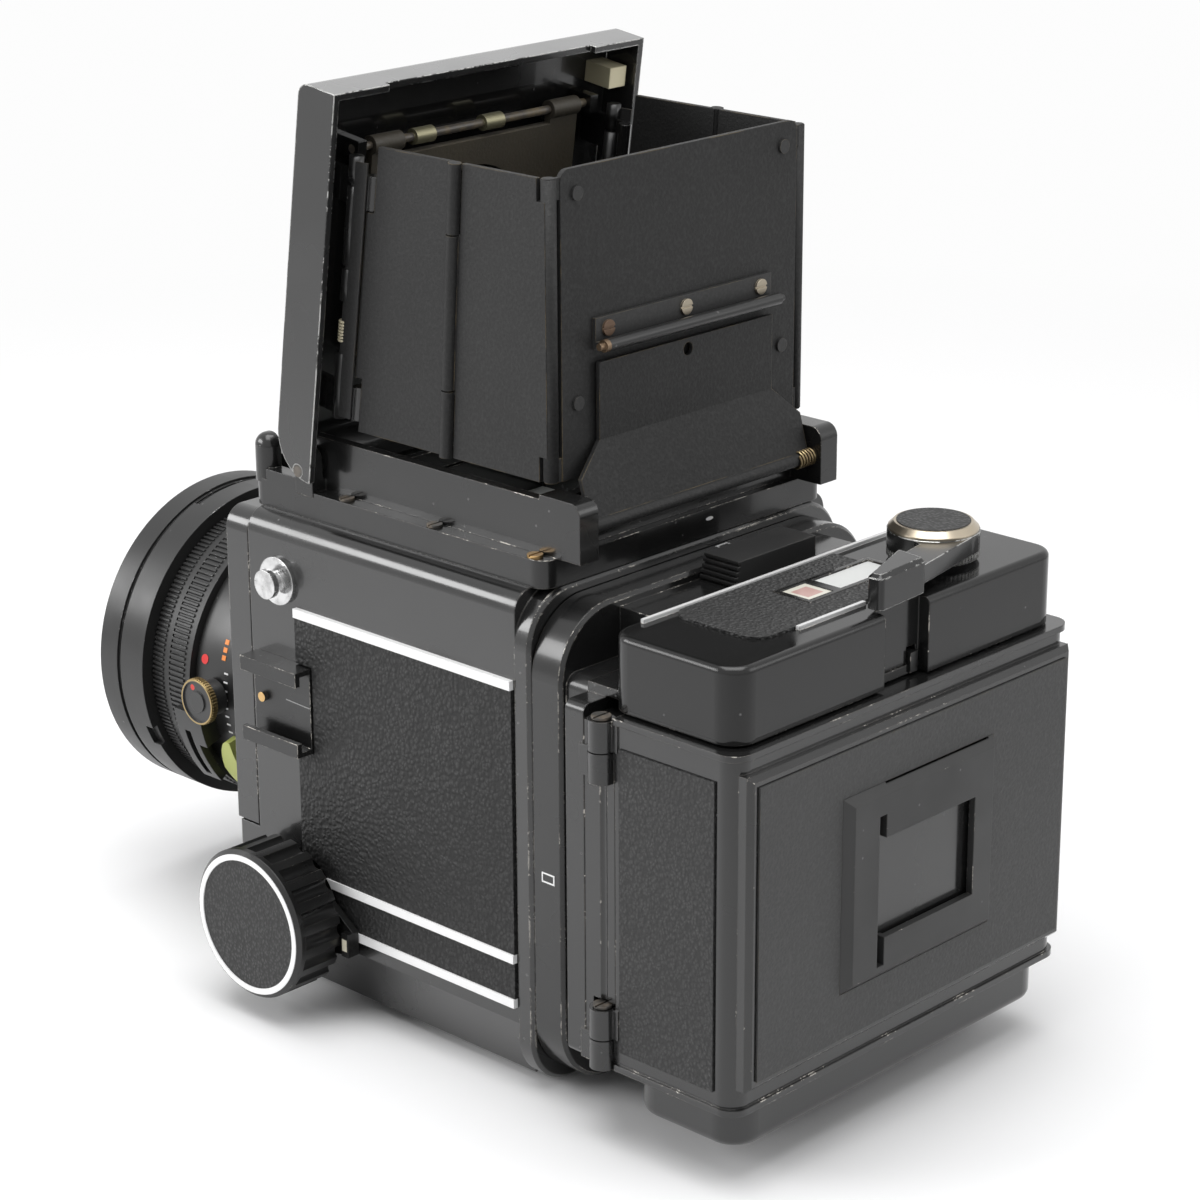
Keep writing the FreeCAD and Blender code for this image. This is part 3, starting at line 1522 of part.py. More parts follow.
def cover_leathers():
    outer = cover_half + cover_leather
    left = box(cover_half, outer, inset_front, inset_rear, inset_low, inset_high)
    lower = box(-outer, -cover_half, inset_front, inset_rear, inset_low, latch_low - 1)
    upper = box(-outer, -cover_half, inset_front, inset_rear, latch_high + latch_travel + 1, inset_high)
    half = cover_panel_half - cover_leather_margin
    rear = box(-half, half, cover_over, cover_over + cover_leather, cover_panel_low + cover_leather_margin,
               cover_panel_high - cover_leather_margin)
    rear = rear.cut(box(-memo_half - fit, memo_half + fit, cover_over, cover_over + cover_leather,
                        memo_low - fit, memo_high + fit))
    return group(left, lower, upper, rear)


def memo_clip():
    over = cover_over + memo_thickness
    clip = box(-memo_half, memo_half, cover_over, over, memo_low, memo_high)
    clip = bevel_rim(clip, "y", over, memo_edge)
    window = box(memo_window_right, memo_window_left, cover_over, over, memo_window_low, memo_window_high)
    slot = box(memo_slot[0], memo_slot[1], cover_over, over, memo_low + 3.5, memo_high - 6.5)
    pocket = box(-memo_half + 2, memo_slot[0] - 1.4, cover_over, cover_over + memo_pocket, memo_low + 2,
                 memo_high)
    return clip.cut(window).cut(slot).cut(pocket)


def cover_latch():
    outer = -cover_half - latch_thickness
    pad = box(outer, -cover_half, latch_front, latch_rear, latch_low, latch_high)
    pad = bevel_rim(pad, "x", outer, latch_bevel)
    hook = box(outer + latch_bevel, -cover_half, latch_front - latch_hook, latch_front + 1,
               latch_low + latch_hook_inset, latch_high - latch_hook_inset)
    return fuse(pad, hook)


# Top housing
def back_housing():
    shell = box(-housing_half, housing_half, housing_front, housing_rear, housing_low, housing_high)
    shell = round_edges(shell, "z", housing_corner)
    shell = shell.makeFillet(housing_edge, level_edges(shell, "z", housing_high))
    inner = box(-housing_half + housing_wall, housing_half - housing_wall, housing_front + housing_wall,
                housing_rear - housing_wall, housing_low, housing_high - housing_wall)
    shell = shell.cut(round_edges(inner, "z", housing_corner - housing_wall))
    back = box(recess_right - recess_wall, recess_left + recess_wall,
               housing_rear - recess_depth - recess_wall, housing_rear - 0.5, housing_low, housing_high - 1)
    recess = box(recess_right, recess_left, housing_rear - recess_depth, housing_rear, housing_low,
                 housing_high)
    slot_right = recess_right + recess_slot_margin
    slot = box(slot_right, slot_right + recess_slot_width, housing_rear - recess_depth - recess_wall,
               housing_rear, housing_low, housing_low + recess_slot)
    shell = fuse(shell, back).cut(recess).cut(slot)
    shell = shell.cut(rod("z", wind_x, wind_y, wind_shaft_radius + fit, housing_high - 3, housing_high))
    shell = shell.cut(box(window_left, window_right, bezel_front + window_margin, bezel_rear - window_margin,
                          housing_high - 3, housing_high))
    shell = shell.cut(box(-deck_half, deck_half, housing_front, deck_rear, housing_low, deck_high))
    frame = box(bezel_right, bezel_left, bezel_front, bezel_rear, housing_high - 0.5,
                housing_high + bezel_height)
    frame = bevel_rim(frame, "z", housing_high + bezel_height, bezel_bevel)
    frame = frame.cut(box(window_right, window_left, bezel_front + window_margin, bezel_rear - window_margin,
                          housing_high - 0.5, housing_high + bezel_height))
    frame = frame.cut(box(label_right, label_left, bezel_front + window_margin, bezel_rear - window_margin,
                          housing_high + 0.3, housing_high + bezel_height))
    high = housing_high + trim_height
    front = housing_front + housing_edge
    strip = box(-trim_front_half, trim_front_half, front, front + trim_width, housing_high - 0.5, high)
    rear = box(trim_rear_span[0], trim_rear_span[1], housing_leather_rear + gap,
               housing_leather_rear + gap + trim_width, housing_high - 0.5, high)
    return fuse(shell, frame, strip, rear)


def counter_window():
    return box(window_right, window_left, bezel_front + window_margin, bezel_rear - window_margin,
               housing_high, housing_high + bezel_height - 0.2)


def counter_dial():
    top = housing_high - housing_wall - dial_gap
    disc = rod("z", dial_x, dial_y, dial_radius, top - dial_thickness, top)
    stem = rod("z", dial_x, dial_y, dial_hub, deck_high + gap, top)
    return fuse(disc, stem).cut(rod("z", dial_x, dial_y, dial_post + fit, deck_high, top))


def housing_leather():
    high = housing_high + housing_leather_thickness
    sheet = box(housing_leather_right, housing_leather_left, housing_leather_front, housing_leather_rear,
                housing_high, high)
    sheet = round_edges(sheet, "z", housing_leather_corner, lambda m: m.x > 0)
    sheet = sheet.cut(box(bezel_right, bezel_left, bezel_front, bezel_rear, housing_high, high))
    return sheet.cut(rod("z", wind_x, wind_y, wind_hub_radius + 1, housing_high, high))


# Wind lever and film insert
def wind_outline(shares):
    return [(wind_x + wind_reach * a, wind_y + wind_reach * b) for a, b in shares]


def wind_lever():
    hub = ribbed("z", wind_x, wind_y, wind_hub_radius, wind_rib_depth, wind_ribs, wind_hub_low, wind_arm_low)
    crown = rod("z", wind_x, wind_y, wind_hub_radius, wind_arm_low, wind_hub_high)
    arm = prism("z", wind_outline(wind_arm), wind_arm_low, wind_arm_high)
    thumb = prism("z", wind_outline(wind_thumb), wind_hub_low, wind_thumb_high)
    thumb = bevel_rim(round_edges(thumb, "z", wind_thumb_corner), "z", wind_thumb_high, wind_thumb_edge)
    return fuse(hub, crown, arm, thumb).cut(rod("z", wind_x, wind_y, wind_shaft_radius, wind_hub_low,
                                                wind_hub_high))


def wind_gear(x, y, teeth, first):
    return gear("z", x, y, wind_module * teeth / 2, teeth, wind_tooth_root, wind_tooth_tip,
                wind_tooth_root_half, wind_tooth_tip_half, first, wind_gear_low, wind_gear_high)


def wind_shaft():
    return fuse(rod("z", wind_x, wind_y, wind_shaft_radius, deck_high + 0.1, wind_hub_high),
                wind_gear(wind_x, wind_y, wind_gear_teeth, mesh_angle))


def wind_lever_cap():
    ring = rod("z", wind_x, wind_y, wind_hub_radius - 0.2, wind_hub_high, wind_cap_high)
    ring = bevel_rim(ring, "z", wind_cap_high, wind_cap_bevel)
    ring = ring.cut(rod("z", wind_x, wind_y, wind_disc_radius, wind_cap_high - 0.8, wind_cap_high))
    disc = rod("z", wind_x, wind_y, wind_disc_radius, wind_cap_high - 0.8, wind_cap_high + 0.2)
    return group(ring, disc)


def spool_slot():
    return box(spool_x - spool_key_half, spool_x + spool_key_half, spool_y - spool_key_thickness / 2,
               spool_y + spool_key_thickness / 2, spool_high - spool_key_depth, spool_high)


def take_up_spool():
    core = rod("z", spool_x, spool_y, spool_core_radius, spool_low, spool_high)
    low = rod("z", spool_x, spool_y, spool_flange_radius, spool_low, spool_low + spool_flange_thickness)
    high = rod("z", spool_x, spool_y, spool_flange_radius, spool_high - spool_flange_thickness, spool_high)
    spool = fuse(core, low, high).cut(spool_slot())
    spool = spool.cut(rod("z", spool_x, spool_y, spool_shaft_radius + fit, spool_low, spool_low + 5))
    key = fuse(rod("z", spool_x, spool_y, spool_shaft_radius, spool_high, wind_gear_high + 1),
               wind_gear(spool_x, spool_y, spool_gear_teeth,
                         mesh_angle + math.pi + math.pi / spool_gear_teeth),
               spool_slot())
    return group(spool, key)


def pressure_spring():
    start = pressure_front + pressure_thickness
    end = insert_web_front
    leaf = spring_leaf_thickness
    outline = [(spring_leaf_reach, end), (spring_leaf_foot, end), (spring_leaf_crown, start + leaf)]
    inner = [(spring_leaf_reach, end - leaf), (spring_leaf_foot + gap, end - leaf),
             (spring_leaf_crown + gap, start)]
    outline += [(-x, y) for x, y in reversed(outline)] + [(-x, y) for x, y in inner] + inner[::-1]
    return prism("z", outline, axis_height - spring_leaf_half, axis_height + spring_leaf_half)


def film_insert():
    parts = []
    for low in (insert_low, insert_high - insert_wall):
        parts.append(soft_box(-insert_half, insert_half, insert_front, insert_rear, low, low + insert_wall,
                              "z", 2))
    parts.append(box(-insert_web, insert_web, insert_web_front, insert_web_front + insert_wall, insert_low,
                     insert_high))
    for side in (1, -1):
        parts.append(box(side * insert_web, side * (insert_web - insert_wall), insert_web_front,
                         insert_rear - 6, insert_low, insert_high))
        parts.append(box(side * (insert_half - 1), side * insert_half, insert_rear - 7, insert_rear - 2,
                         insert_low, insert_high))
    parts.append(rod("z", spool_x, spool_y, spool_shaft_radius, insert_low, spool_low + 4))
    insert = fuse(*parts).cut(rod("z", spool_x, spool_y, spool_shaft_radius + fit, insert_high - insert_wall,
                                  insert_high))
    low = insert_low + insert_wall
    high = insert_high - insert_wall
    rollers = [rod("z", x, roller_y, roller_radius, low, high) for x in (roller_x, -roller_x)]
    plate = soft_box(-pressure_half, pressure_half, pressure_front, pressure_front + pressure_thickness,
                     pressure_low, pressure_high, "y", 2)
    return group(insert, *rollers, plate, pressure_spring())


nodes = {
    "body_shell": body_shell,
    "base_plate": base_plate,
    "body_fasteners": body_fasteners,
    "side_leathers": side_leathers,
    "trim_strips": trim_strips,
    "strap_lugs": strap_lugs,
    "accessory_shoe": accessory_shoe,
    "finder_base": finder_base,
    "focusing_screen": focusing_screen,
    "focus_shaft": focus_shaft,
    "focus_knobs": lambda: pair(group(*focus_knob())),
    "focus_lock_lever": focus_lock_lever,
    "front_standard": front_standard,
    "focus_racks": focus_racks,
    "bellows": bellows,
    "release_button": release_button,
    "release_lock_ring": release_lock_ring,
    "cocking_lever": cocking_lever,
    "mirror_frame": mirror_frame,
    "mirror_glass": mirror_glass,
    "lens_barrel": lens_barrel,
    "lens_lock_ring": lens_lock_ring,
    "aperture_ring": lambda: grip_ring(aperture_front, aperture_rear, deep_depth, deep_knurl_count),
    "shutter_speed_ring": lambda: grip_ring(shutter_front, shutter_rear, fine_depth, fine_knurl_count),
    "lens_front_barrel": lens_front_barrel,
    "lens_glasses": lens_glasses,
    "iris_blades": iris_blades,
    "mirror_up_knob": mirror_up_knob,
    "preview_lever": preview_lever,
    "hood_lid": hood_lid,
    "magnifier_rod": magnifier_rod,
    "magnifier_frame": magnifier_frame,
    "magnifier_lens": magnifier_lens,
    "magnifier_catch": magnifier_catch,
    "hood_side_front_left": side_front,
    "hood_side_rear_left": side_rear,
    "hood_side_front_right": lambda: mirrored(side_front()),
    "hood_side_rear_right": lambda: mirrored(side_rear()),
    "hood_rear_panel": hood_rear_panel,
    "hood_hinge_leaf": hood_hinge_leaf,
    "hood_link_plate": hood_link_plate,
    "revolving_adapter": revolving_adapter,
    "lock_slider_top": lock_slider_top,
    "lock_slider_bottom": lock_slider_bottom,
    "back_frame": back_frame,
    "dark_slide": dark_slide,
    "hinge_pins": hinge_pins,
    "back_cover": back_cover,
    "cover_leathers": cover_leathers,
    "memo_clip": memo_clip,
    "cover_latch": cover_latch,
    "back_housing": back_housing,
    "counter_window": counter_window,
    "counter_dial": counter_dial,
    "housing_leather": housing_leather,
    "wind_lever": wind_lever,
    "wind_shaft": wind_shaft,
    "wind_lever_cap": wind_lever_cap,
    "take_up_spool": take_up_spool,
    "film_insert": film_insert,
}

os.makedirs("parts", exist_ok=True)
for name, make in nodes.items():
    shape = make()
    shape.exportStep("parts/" + name + ".step")
    print(name, "solids", len(shape.Solids), "valid", shape.isValid(), "volume", round(shape.Volume, 1))
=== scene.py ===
# %% [markdown]
# # A 6x7 reflex camera, dressed for its portrait
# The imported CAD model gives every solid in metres, in one frame: +Z up, the lens along -Y, the film
# back at +Y. This lesson loads it, gives each surface the finish of the real, well-used camera, adds
# the small printed and sprung details, and lights it like a catalogue photograph.

# %% Load the frame
import bpy
import bmesh
import math
from mathutils import Matrix, Vector


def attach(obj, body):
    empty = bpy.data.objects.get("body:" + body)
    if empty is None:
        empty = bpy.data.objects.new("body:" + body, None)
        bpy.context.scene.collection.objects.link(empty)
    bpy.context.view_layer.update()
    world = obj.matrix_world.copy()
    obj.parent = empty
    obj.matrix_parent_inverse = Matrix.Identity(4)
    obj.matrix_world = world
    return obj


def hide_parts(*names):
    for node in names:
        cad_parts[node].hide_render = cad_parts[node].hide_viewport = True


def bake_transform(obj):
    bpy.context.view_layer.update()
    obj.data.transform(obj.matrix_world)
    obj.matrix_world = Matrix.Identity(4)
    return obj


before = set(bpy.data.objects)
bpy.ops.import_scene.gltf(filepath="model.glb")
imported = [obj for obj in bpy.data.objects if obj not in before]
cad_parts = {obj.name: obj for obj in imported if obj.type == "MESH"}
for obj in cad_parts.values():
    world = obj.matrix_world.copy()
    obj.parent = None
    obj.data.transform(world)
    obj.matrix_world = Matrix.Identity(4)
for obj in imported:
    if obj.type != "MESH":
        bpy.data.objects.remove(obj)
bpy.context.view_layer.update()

# %% [markdown]
# ## The camera that took the photograph
# Vanishing points of the body's straight edges gave the focal length, the direction and the distance. A
# camera could also be aimed by eye or told to track an empty, but then each piece would be judged from a
# view that is a little wrong. With measured numbers the picture and the photograph lie over each other.

# %% Place the camera
AZIMUTH, ELEVATION, ROLL = (math.radians(a) for a in (133.61, 19.16, -0.27))
STAND = (0.5298, 0.5278, 0.3541)
FRAME_PIXELS, FOCAL_PIXELS, SENSOR_MM = 1200, 3323, 36
MIDDLE_X, MIDDLE_Y = 603.4, 599.5
back = Vector((math.sin(AZIMUTH) * math.cos(ELEVATION), -math.cos(AZIMUTH) * math.cos(ELEVATION),
               math.sin(ELEVATION)))
level_right = Vector((math.cos(AZIMUTH), math.sin(AZIMUTH), 0))
level_up = back.cross(level_right)
right = level_right * math.cos(ROLL) + level_up * math.sin(ROLL)
up = level_up * math.cos(ROLL) - level_right * math.sin(ROLL)
view = bpy.data.cameras.new("portrait_view")
view.lens = FOCAL_PIXELS / FRAME_PIXELS * SENSOR_MM
view.shift_x = (FRAME_PIXELS / 2 - MIDDLE_X) / FRAME_PIXELS
view.shift_y = (MIDDLE_Y - FRAME_PIXELS / 2) / FRAME_PIXELS
view.clip_end = 20
camera = bpy.data.objects.new("portrait_view", view)
camera.matrix_world = Matrix.Translation(STAND) @ Matrix((right, up, back)).transposed().to_4x4()
bpy.context.scene.collection.objects.link(camera)
bpy.context.scene.camera = camera
print("lens", round(view.lens, 1), "mm")

# %% [markdown]
# ## Helpers for shader trees
# A material is a tree of small nodes. They could be placed and joined by hand in the shader editor. A few
# short functions let a line of text read like the sum that it makes instead: `calc` is one Math node,
# `ramp` maps one range onto another, and the two blends mix colours or numbers by a share from 0 to 1.

# %% Small helpers for shader trees
def add(tree, kind, feed=None, **settings):
    made = tree.nodes.new("ShaderNode" + kind)
    for name, value in settings.items():
        setattr(made, name, value)
    for name, value in (feed or {}).items():
        socket = made.inputs[name]
        if isinstance(value, bpy.types.NodeSocket):
            tree.links.new(value, socket)
        else:
            socket.default_value = value
    return made


def calc(tree, operation, *values, clamp=False):
    feed = {i: value for i, value in enumerate(values)}
    return add(tree, "Math", feed, operation=operation, use_clamp=clamp).outputs[0]


def ramp(tree, value, low, high, start=0.0, end=1.0):
    feed = {"Value": value, "From Min": low, "From Max": high, "To Min": start, "To Max": end}
    return add(tree, "MapRange", feed).outputs["Result"]


def blend_colours(tree, share, first, second):
    return add(tree, "Mix", {0: share, 6: first, 7: second}, data_type="RGBA").outputs[2]


def blend_values(tree, share, first, second):
    return add(tree, "Mix", {0: share, 2: first, 3: second}, data_type="FLOAT").outputs[0]


def grey(level):
    return (level, level, level, 1.0)


print("a mid grey is", grey(0.5))

# %% [markdown]
# ## The white tent
# The real picture was taken on a white sweep inside soft boxes. The world stands for the tent: to the eye,
# to reflections and through glass it is white, but it lights the object much less, so that the lamps can
# shape it. A photographed studio would give livelier reflections, but it would be one more file.

# %% The white world
WORLD_LIGHT, WORLD_SEEN = 0.38, 0.98


def seen_directly(tree, path):
    seen = calc(tree, "ADD", path.outputs["Is Camera Ray"], path.outputs["Is Glossy Ray"])
    return calc(tree, "ADD", seen, path.outputs["Is Transmission Ray"], clamp=True)


def studio_world():
    world = bpy.data.worlds.new("white_tent")
    world.use_nodes = True
    tree = world.node_tree
    tree.nodes.clear()
    seen = seen_directly(tree, add(tree, "LightPath"))
    strength = ramp(tree, seen, 0.0, 1.0, WORLD_LIGHT, WORLD_SEEN)
    light = add(tree, "Background", {"Color": grey(1.0), "Strength": strength})
    out = add(tree, "OutputWorld")
    tree.links.new(light.outputs[0], out.inputs[0])
    bpy.context.scene.world = world


studio_world()
print("world", bpy.context.scene.world.name)

# %% [markdown]
# ## The white sweep
# Near the object the paper is a lit surface that keeps the shadow. Further away it fades into the world's
# white, which hides the horizon, and reflections see it darken a little towards the back. A curved sweep
# of mesh would need a careful light of its own.

# %% Floor that fades to white
TABLE_HALF = 6.0
PAPER_COLOUR, PAPER_ROUGH = (0.93, 0.93, 0.935, 1), 0.55
FADE_START, FADE_END = 0.28, 0.75
SHADE_START, SHADE_END, SHADE_SHARE = 0.05, 0.45, 0.3


def new_material(name):
    material = bpy.data.materials.new(name)
    material.use_nodes = True
    tree = material.node_tree
    return material, tree, tree.nodes["Principled BSDF"]


def paper_material():
    paper, tree, shader = new_material("white_sweep")
    shader.inputs["Base Color"].default_value = PAPER_COLOUR
    shader.inputs["Roughness"].default_value = PAPER_ROUGH
    place = add(tree, "TexCoord").outputs["Object"]
    reach = add(tree, "VectorMath", {0: place}, operation="LENGTH").outputs["Value"]
    path = add(tree, "LightPath")
    far = calc(tree, "MULTIPLY", ramp(tree, reach, FADE_START, FADE_END), seen_directly(tree, path))
    aside = add(tree, "SeparateXYZ", {0: place}).outputs["Y"]
    shade = ramp(tree, aside, SHADE_START, SHADE_END, 0.0, SHADE_SHARE)
    shade = calc(tree, "MULTIPLY", shade, path.outputs["Is Glossy Ray"])
    strength = calc(tree, "MULTIPLY", calc(tree, "SUBTRACT", 1.0, shade), WORLD_SEEN)
    glow = add(tree, "Emission", {"Color": grey(1.0), "Strength": strength})
    mix = add(tree, "MixShader", {0: far, 1: shader.outputs[0], 2: glow.outputs[0]})
    tree.links.new(mix.outputs[0], tree.nodes["Material Output"].inputs["Surface"])
    return paper


def studio_floor():
    mesh = bpy.data.meshes.new("table")
    s = TABLE_HALF
    mesh.from_pydata([(-s, -s, 0), (s, -s, 0), (s, s, 0), (-s, s, 0)], [], [(0, 1, 2, 3)])
    floor = bpy.data.objects.new("table", mesh)
    bpy.context.scene.collection.objects.link(floor)
    mesh.materials.append(paper_material())


studio_floor()
bpy.context.scene.view_settings.view_transform = "Standard"
print("table", 2 * TABLE_HALF, "m wide")

# %% [markdown]
# ## Soft boxes
# Black enamel shows the shape of its lamps, so each lamp is a broad rectangle, as a soft box is: a large
# one above, one beside the lens and a weak one on the far side. Spot lamps would be simpler, but their
# highlights would be small hard dots instead of long bands with soft ends.

# %% Soft boxes
LAMP_TARGET = Vector((0, 0, 0.1))


def soft_box(name, place, width, height, power):
    lamp = bpy.data.lights.new(name, "AREA")
    lamp.shape = "RECTANGLE"
    lamp.size = width
    lamp.size_y = height
    lamp.energy = power
    box = bpy.data.objects.new(name, lamp)
    box.location = place
    box.rotation_euler = (LAMP_TARGET - Vector(place)).to_track_quat("-Z", "Y").to_euler()
    bpy.context.scene.collection.objects.link(box)


soft_box("top_box", (0.1, 0.1, 1.3), 1.1, 1.1, 16)
soft_box("left_box", (1.0, -0.9, 0.62), 0.9, 0.5, 11)
soft_box("right_box", (-0.7, 1.1, 0.7), 0.7, 0.7, 3)
print("lamps", len(bpy.data.lights))

# %% [markdown]
# ## Shared effects
# Several finishes need the same few effects, so each effect is built once as a node group. They could be
# painted images, but those need an unwrapped mesh and lose their detail close up. All patterns here use
# object coordinates in metres, so their grain has its real size and rides along with the piece.

# %% A helper that opens a group
def open_group(name, inputs, outputs):
    group = bpy.data.node_groups.new(name, "ShaderNodeTree")
    for label, kind, value in inputs:
        socket = group.interface.new_socket(label, in_out="INPUT", socket_type="NodeSocket" + kind)
        socket.default_value = value
    for label, kind in outputs:
        group.interface.new_socket(label, in_out="OUTPUT", socket_type="NodeSocket" + kind)
    given = group.nodes.new("NodeGroupInput").outputs
    return group, given, group.nodes.new("NodeGroupOutput").inputs


def spot(tree):
    return add(tree, "TexCoord").outputs["Object"]


def noise(tree, scale, detail=3.0, rough=0.55, warp=0.0):
    feed = {"Vector": spot(tree), "Scale": scale, "Detail": detail, "Roughness": rough,
            "Distortion": warp}
    return add(tree, "TexNoise", feed).outputs["Fac"]


print("groups so far", len(bpy.data.node_groups))

# %% [markdown]
# ## Rounded edges and where they are
# No cast or pressed edge is truly sharp. Chamfers in the mesh would cost many faces, so the Bevel node
# rounds the normal instead, and where the rounded and the true normal differ there is an edge to wear.

# %% Edges group
def make_edges_group():
    tree, given, result = open_group("rounded_edges", [("Radius", "Float", 0.0004)],
                                     [("Normal", "Vector"), ("Edge", "Float")])
    bevel = add(tree, "Bevel", {"Radius": given["Radius"]}, samples=4)
    true = add(tree, "NewGeometry")
    feed = {0: bevel.outputs[0], 1: true.outputs["Normal"]}
    likeness = add(tree, "VectorMath", feed, operation="DOT_PRODUCT").outputs["Value"]
    tree.links.new(bevel.outputs[0], result["Normal"])
    tree.links.new(ramp(tree, likeness, 0.985, 0.80), result["Edge"])


make_edges_group()
print("made", bpy.data.node_groups[-1].name)

# %% [markdown]
# ## Dust and pale specks
# An old camera carries dust and tiny nicks. Single specks could be meshes, but there are thousands, so
# each Voronoi cell holds one small dot, and a random number per cell decides which dots are kept.

# %% Specks group
def make_specks_group():
    tree, given, result = open_group(
        "pale_specks", [("Scale", "Float", 300.0), ("Amount", "Float", 0.1)], [("Mask", "Float")])
    cells = add(tree, "TexVoronoi", {"Vector": spot(tree), "Scale": given["Scale"]})
    dot = ramp(tree, cells.outputs["Distance"], 0.16, 0.07)
    picked = add(tree, "SeparateColor", {0: cells.outputs["Color"]}).outputs[0]
    chosen = calc(tree, "LESS_THAN", picked, given["Amount"])
    tree.links.new(calc(tree, "MULTIPLY", dot, chosen), result["Mask"])


make_specks_group()
print("made", sorted(group.name for group in bpy.data.node_groups))

# %% [markdown]
# ## Black enamel that has been carried for years
# The castings are stove enamel over light alloy. Hands rub it brown at the edges, knocks chip it to bare
# metal, and fingers leave smudges in its gloss. A plain black with one roughness would look like new
# plastic, so rubbed patches, chips, specks and smudges are laid over each other, each from its own noise.

# %% Enamel group
def make_enamel_group():
    tree, given, result = open_group(
        "worn_enamel",
        [("Paint", "Color", grey(0.010)), ("Rubbed", "Color", (0.10, 0.085, 0.07, 1)),
         ("Bare", "Color", (0.55, 0.52, 0.47, 1)), ("Wear", "Float", 0.5), ("Gloss", "Float", 0.25),
         ("Edge", "Float", 0.0)],
        [("Color", "Color"), ("Roughness", "Float"), ("Metallic", "Float"), ("Height", "Float")])
    patches = noise(tree, 90.0, 4.0)
    fine = noise(tree, 900.0, 4.0, 0.7)
    rub = calc(tree, "MULTIPLY", ramp(tree, patches, 0.42, 0.62), given["Edge"])
    rub = calc(tree, "MULTIPLY", rub, given["Wear"], clamp=True)
    chip_seed = calc(tree, "ADD", calc(tree, "MULTIPLY", patches, 0.55), calc(tree, "MULTIPLY", fine, 0.45))
    limit = ramp(tree, given["Wear"], 0.0, 2.0, 0.66, 0.42)
    chips = calc(tree, "MULTIPLY", calc(tree, "GREATER_THAN", chip_seed, limit),
                 calc(tree, "GREATER_THAN", given["Edge"], 0.35))
    specks = add(tree, "Group", node_tree=bpy.data.node_groups["pale_specks"])
    specks.inputs["Scale"].default_value = 420.0
    specks.inputs["Amount"].default_value = 0.035
    colour = blend_colours(tree, calc(tree, "MULTIPLY", rub, 0.8), given["Paint"], given["Rubbed"])
    colour = blend_colours(tree, calc(tree, "MULTIPLY", specks.outputs[0], 0.35), colour, grey(0.25))
    colour = blend_colours(tree, chips, colour, given["Bare"])
    smudge = ramp(tree, noise(tree, 38.0, 3.0), 0.35, 0.7, -0.06, 0.12)
    rough = calc(tree, "ADD", given["Gloss"],
                 calc(tree, "ADD", smudge, calc(tree, "MULTIPLY", rub, 0.15)))
    height = calc(tree, "SUBTRACT", calc(tree, "MULTIPLY", noise(tree, 1500.0, 2.0), 0.12), chips)
    tree.links.new(colour, result["Color"])
    tree.links.new(blend_values(tree, chips, rough, 0.35), result["Roughness"])
    tree.links.new(calc(tree, "MULTIPLY", chips, 0.9), result["Metallic"])
    tree.links.new(height, result["Height"])


make_enamel_group()
print("enamel nodes", len(bpy.data.node_groups["worn_enamel"].nodes))

# %% [markdown]
# ## Fine crackle paint on sheet metal
# The hood's sheets have a matte paint that shrinks into a fine net as it dries. Real cracks in the mesh
# would be far too many, so a warped noise and soft Voronoi cells together give the height of the net, and
# the same height makes the raised parts a little paler and smoother.

# %% Crackle group
def make_crackle_group():
    tree, given, result = open_group(
        "crackle_paint",
        [("Paint", "Color", grey(0.014)), ("Tint", "Color", (0.16, 0.12, 0.06, 1)),
         ("Edge", "Float", 0.0), ("Wear", "Float", 0.5)],
        [("Color", "Color"), ("Roughness", "Float"), ("Height", "Float")])
    skin = noise(tree, 1500.0, 3.0, 0.6, 0.6)
    cells = add(tree, "TexVoronoi", {"Vector": spot(tree), "Scale": 1300.0}, feature="SMOOTH_F1")
    height = calc(tree, "ADD", calc(tree, "MULTIPLY", skin, 0.7),
                  calc(tree, "MULTIPLY", cells.outputs["Distance"], 0.5))
    rub = calc(tree, "MULTIPLY", ramp(tree, noise(tree, 120.0, 4.0), 0.45, 0.6), given["Edge"])
    rub = calc(tree, "MULTIPLY", rub, given["Wear"], clamp=True)
    haze = ramp(tree, noise(tree, 28.0, 3.0), 0.4, 0.7, 0.0, 0.35)
    colour = blend_colours(tree, haze, given["Paint"], grey(0.024))
    colour = blend_colours(tree, ramp(tree, height, 0.55, 0.95, 0.0, 0.25), colour, grey(0.05))
    tree.links.new(blend_colours(tree, rub, colour, given["Tint"]), result["Color"])
    tree.links.new(ramp(tree, height, 0.4, 0.9, 0.62, 0.45), result["Roughness"])
    tree.links.new(height, result["Height"])


make_crackle_group()
print("crackle nodes", len(bpy.data.node_groups["crackle_paint"].nodes))

# %% [markdown]
# ## Pebbled leatherette
# The coverings are embossed cloth: round pebbles with dark gaps, worn pale on their crowns. An image of
# leather would repeat, so soft Voronoi cells make the pebbles, and a noise pushes them about.

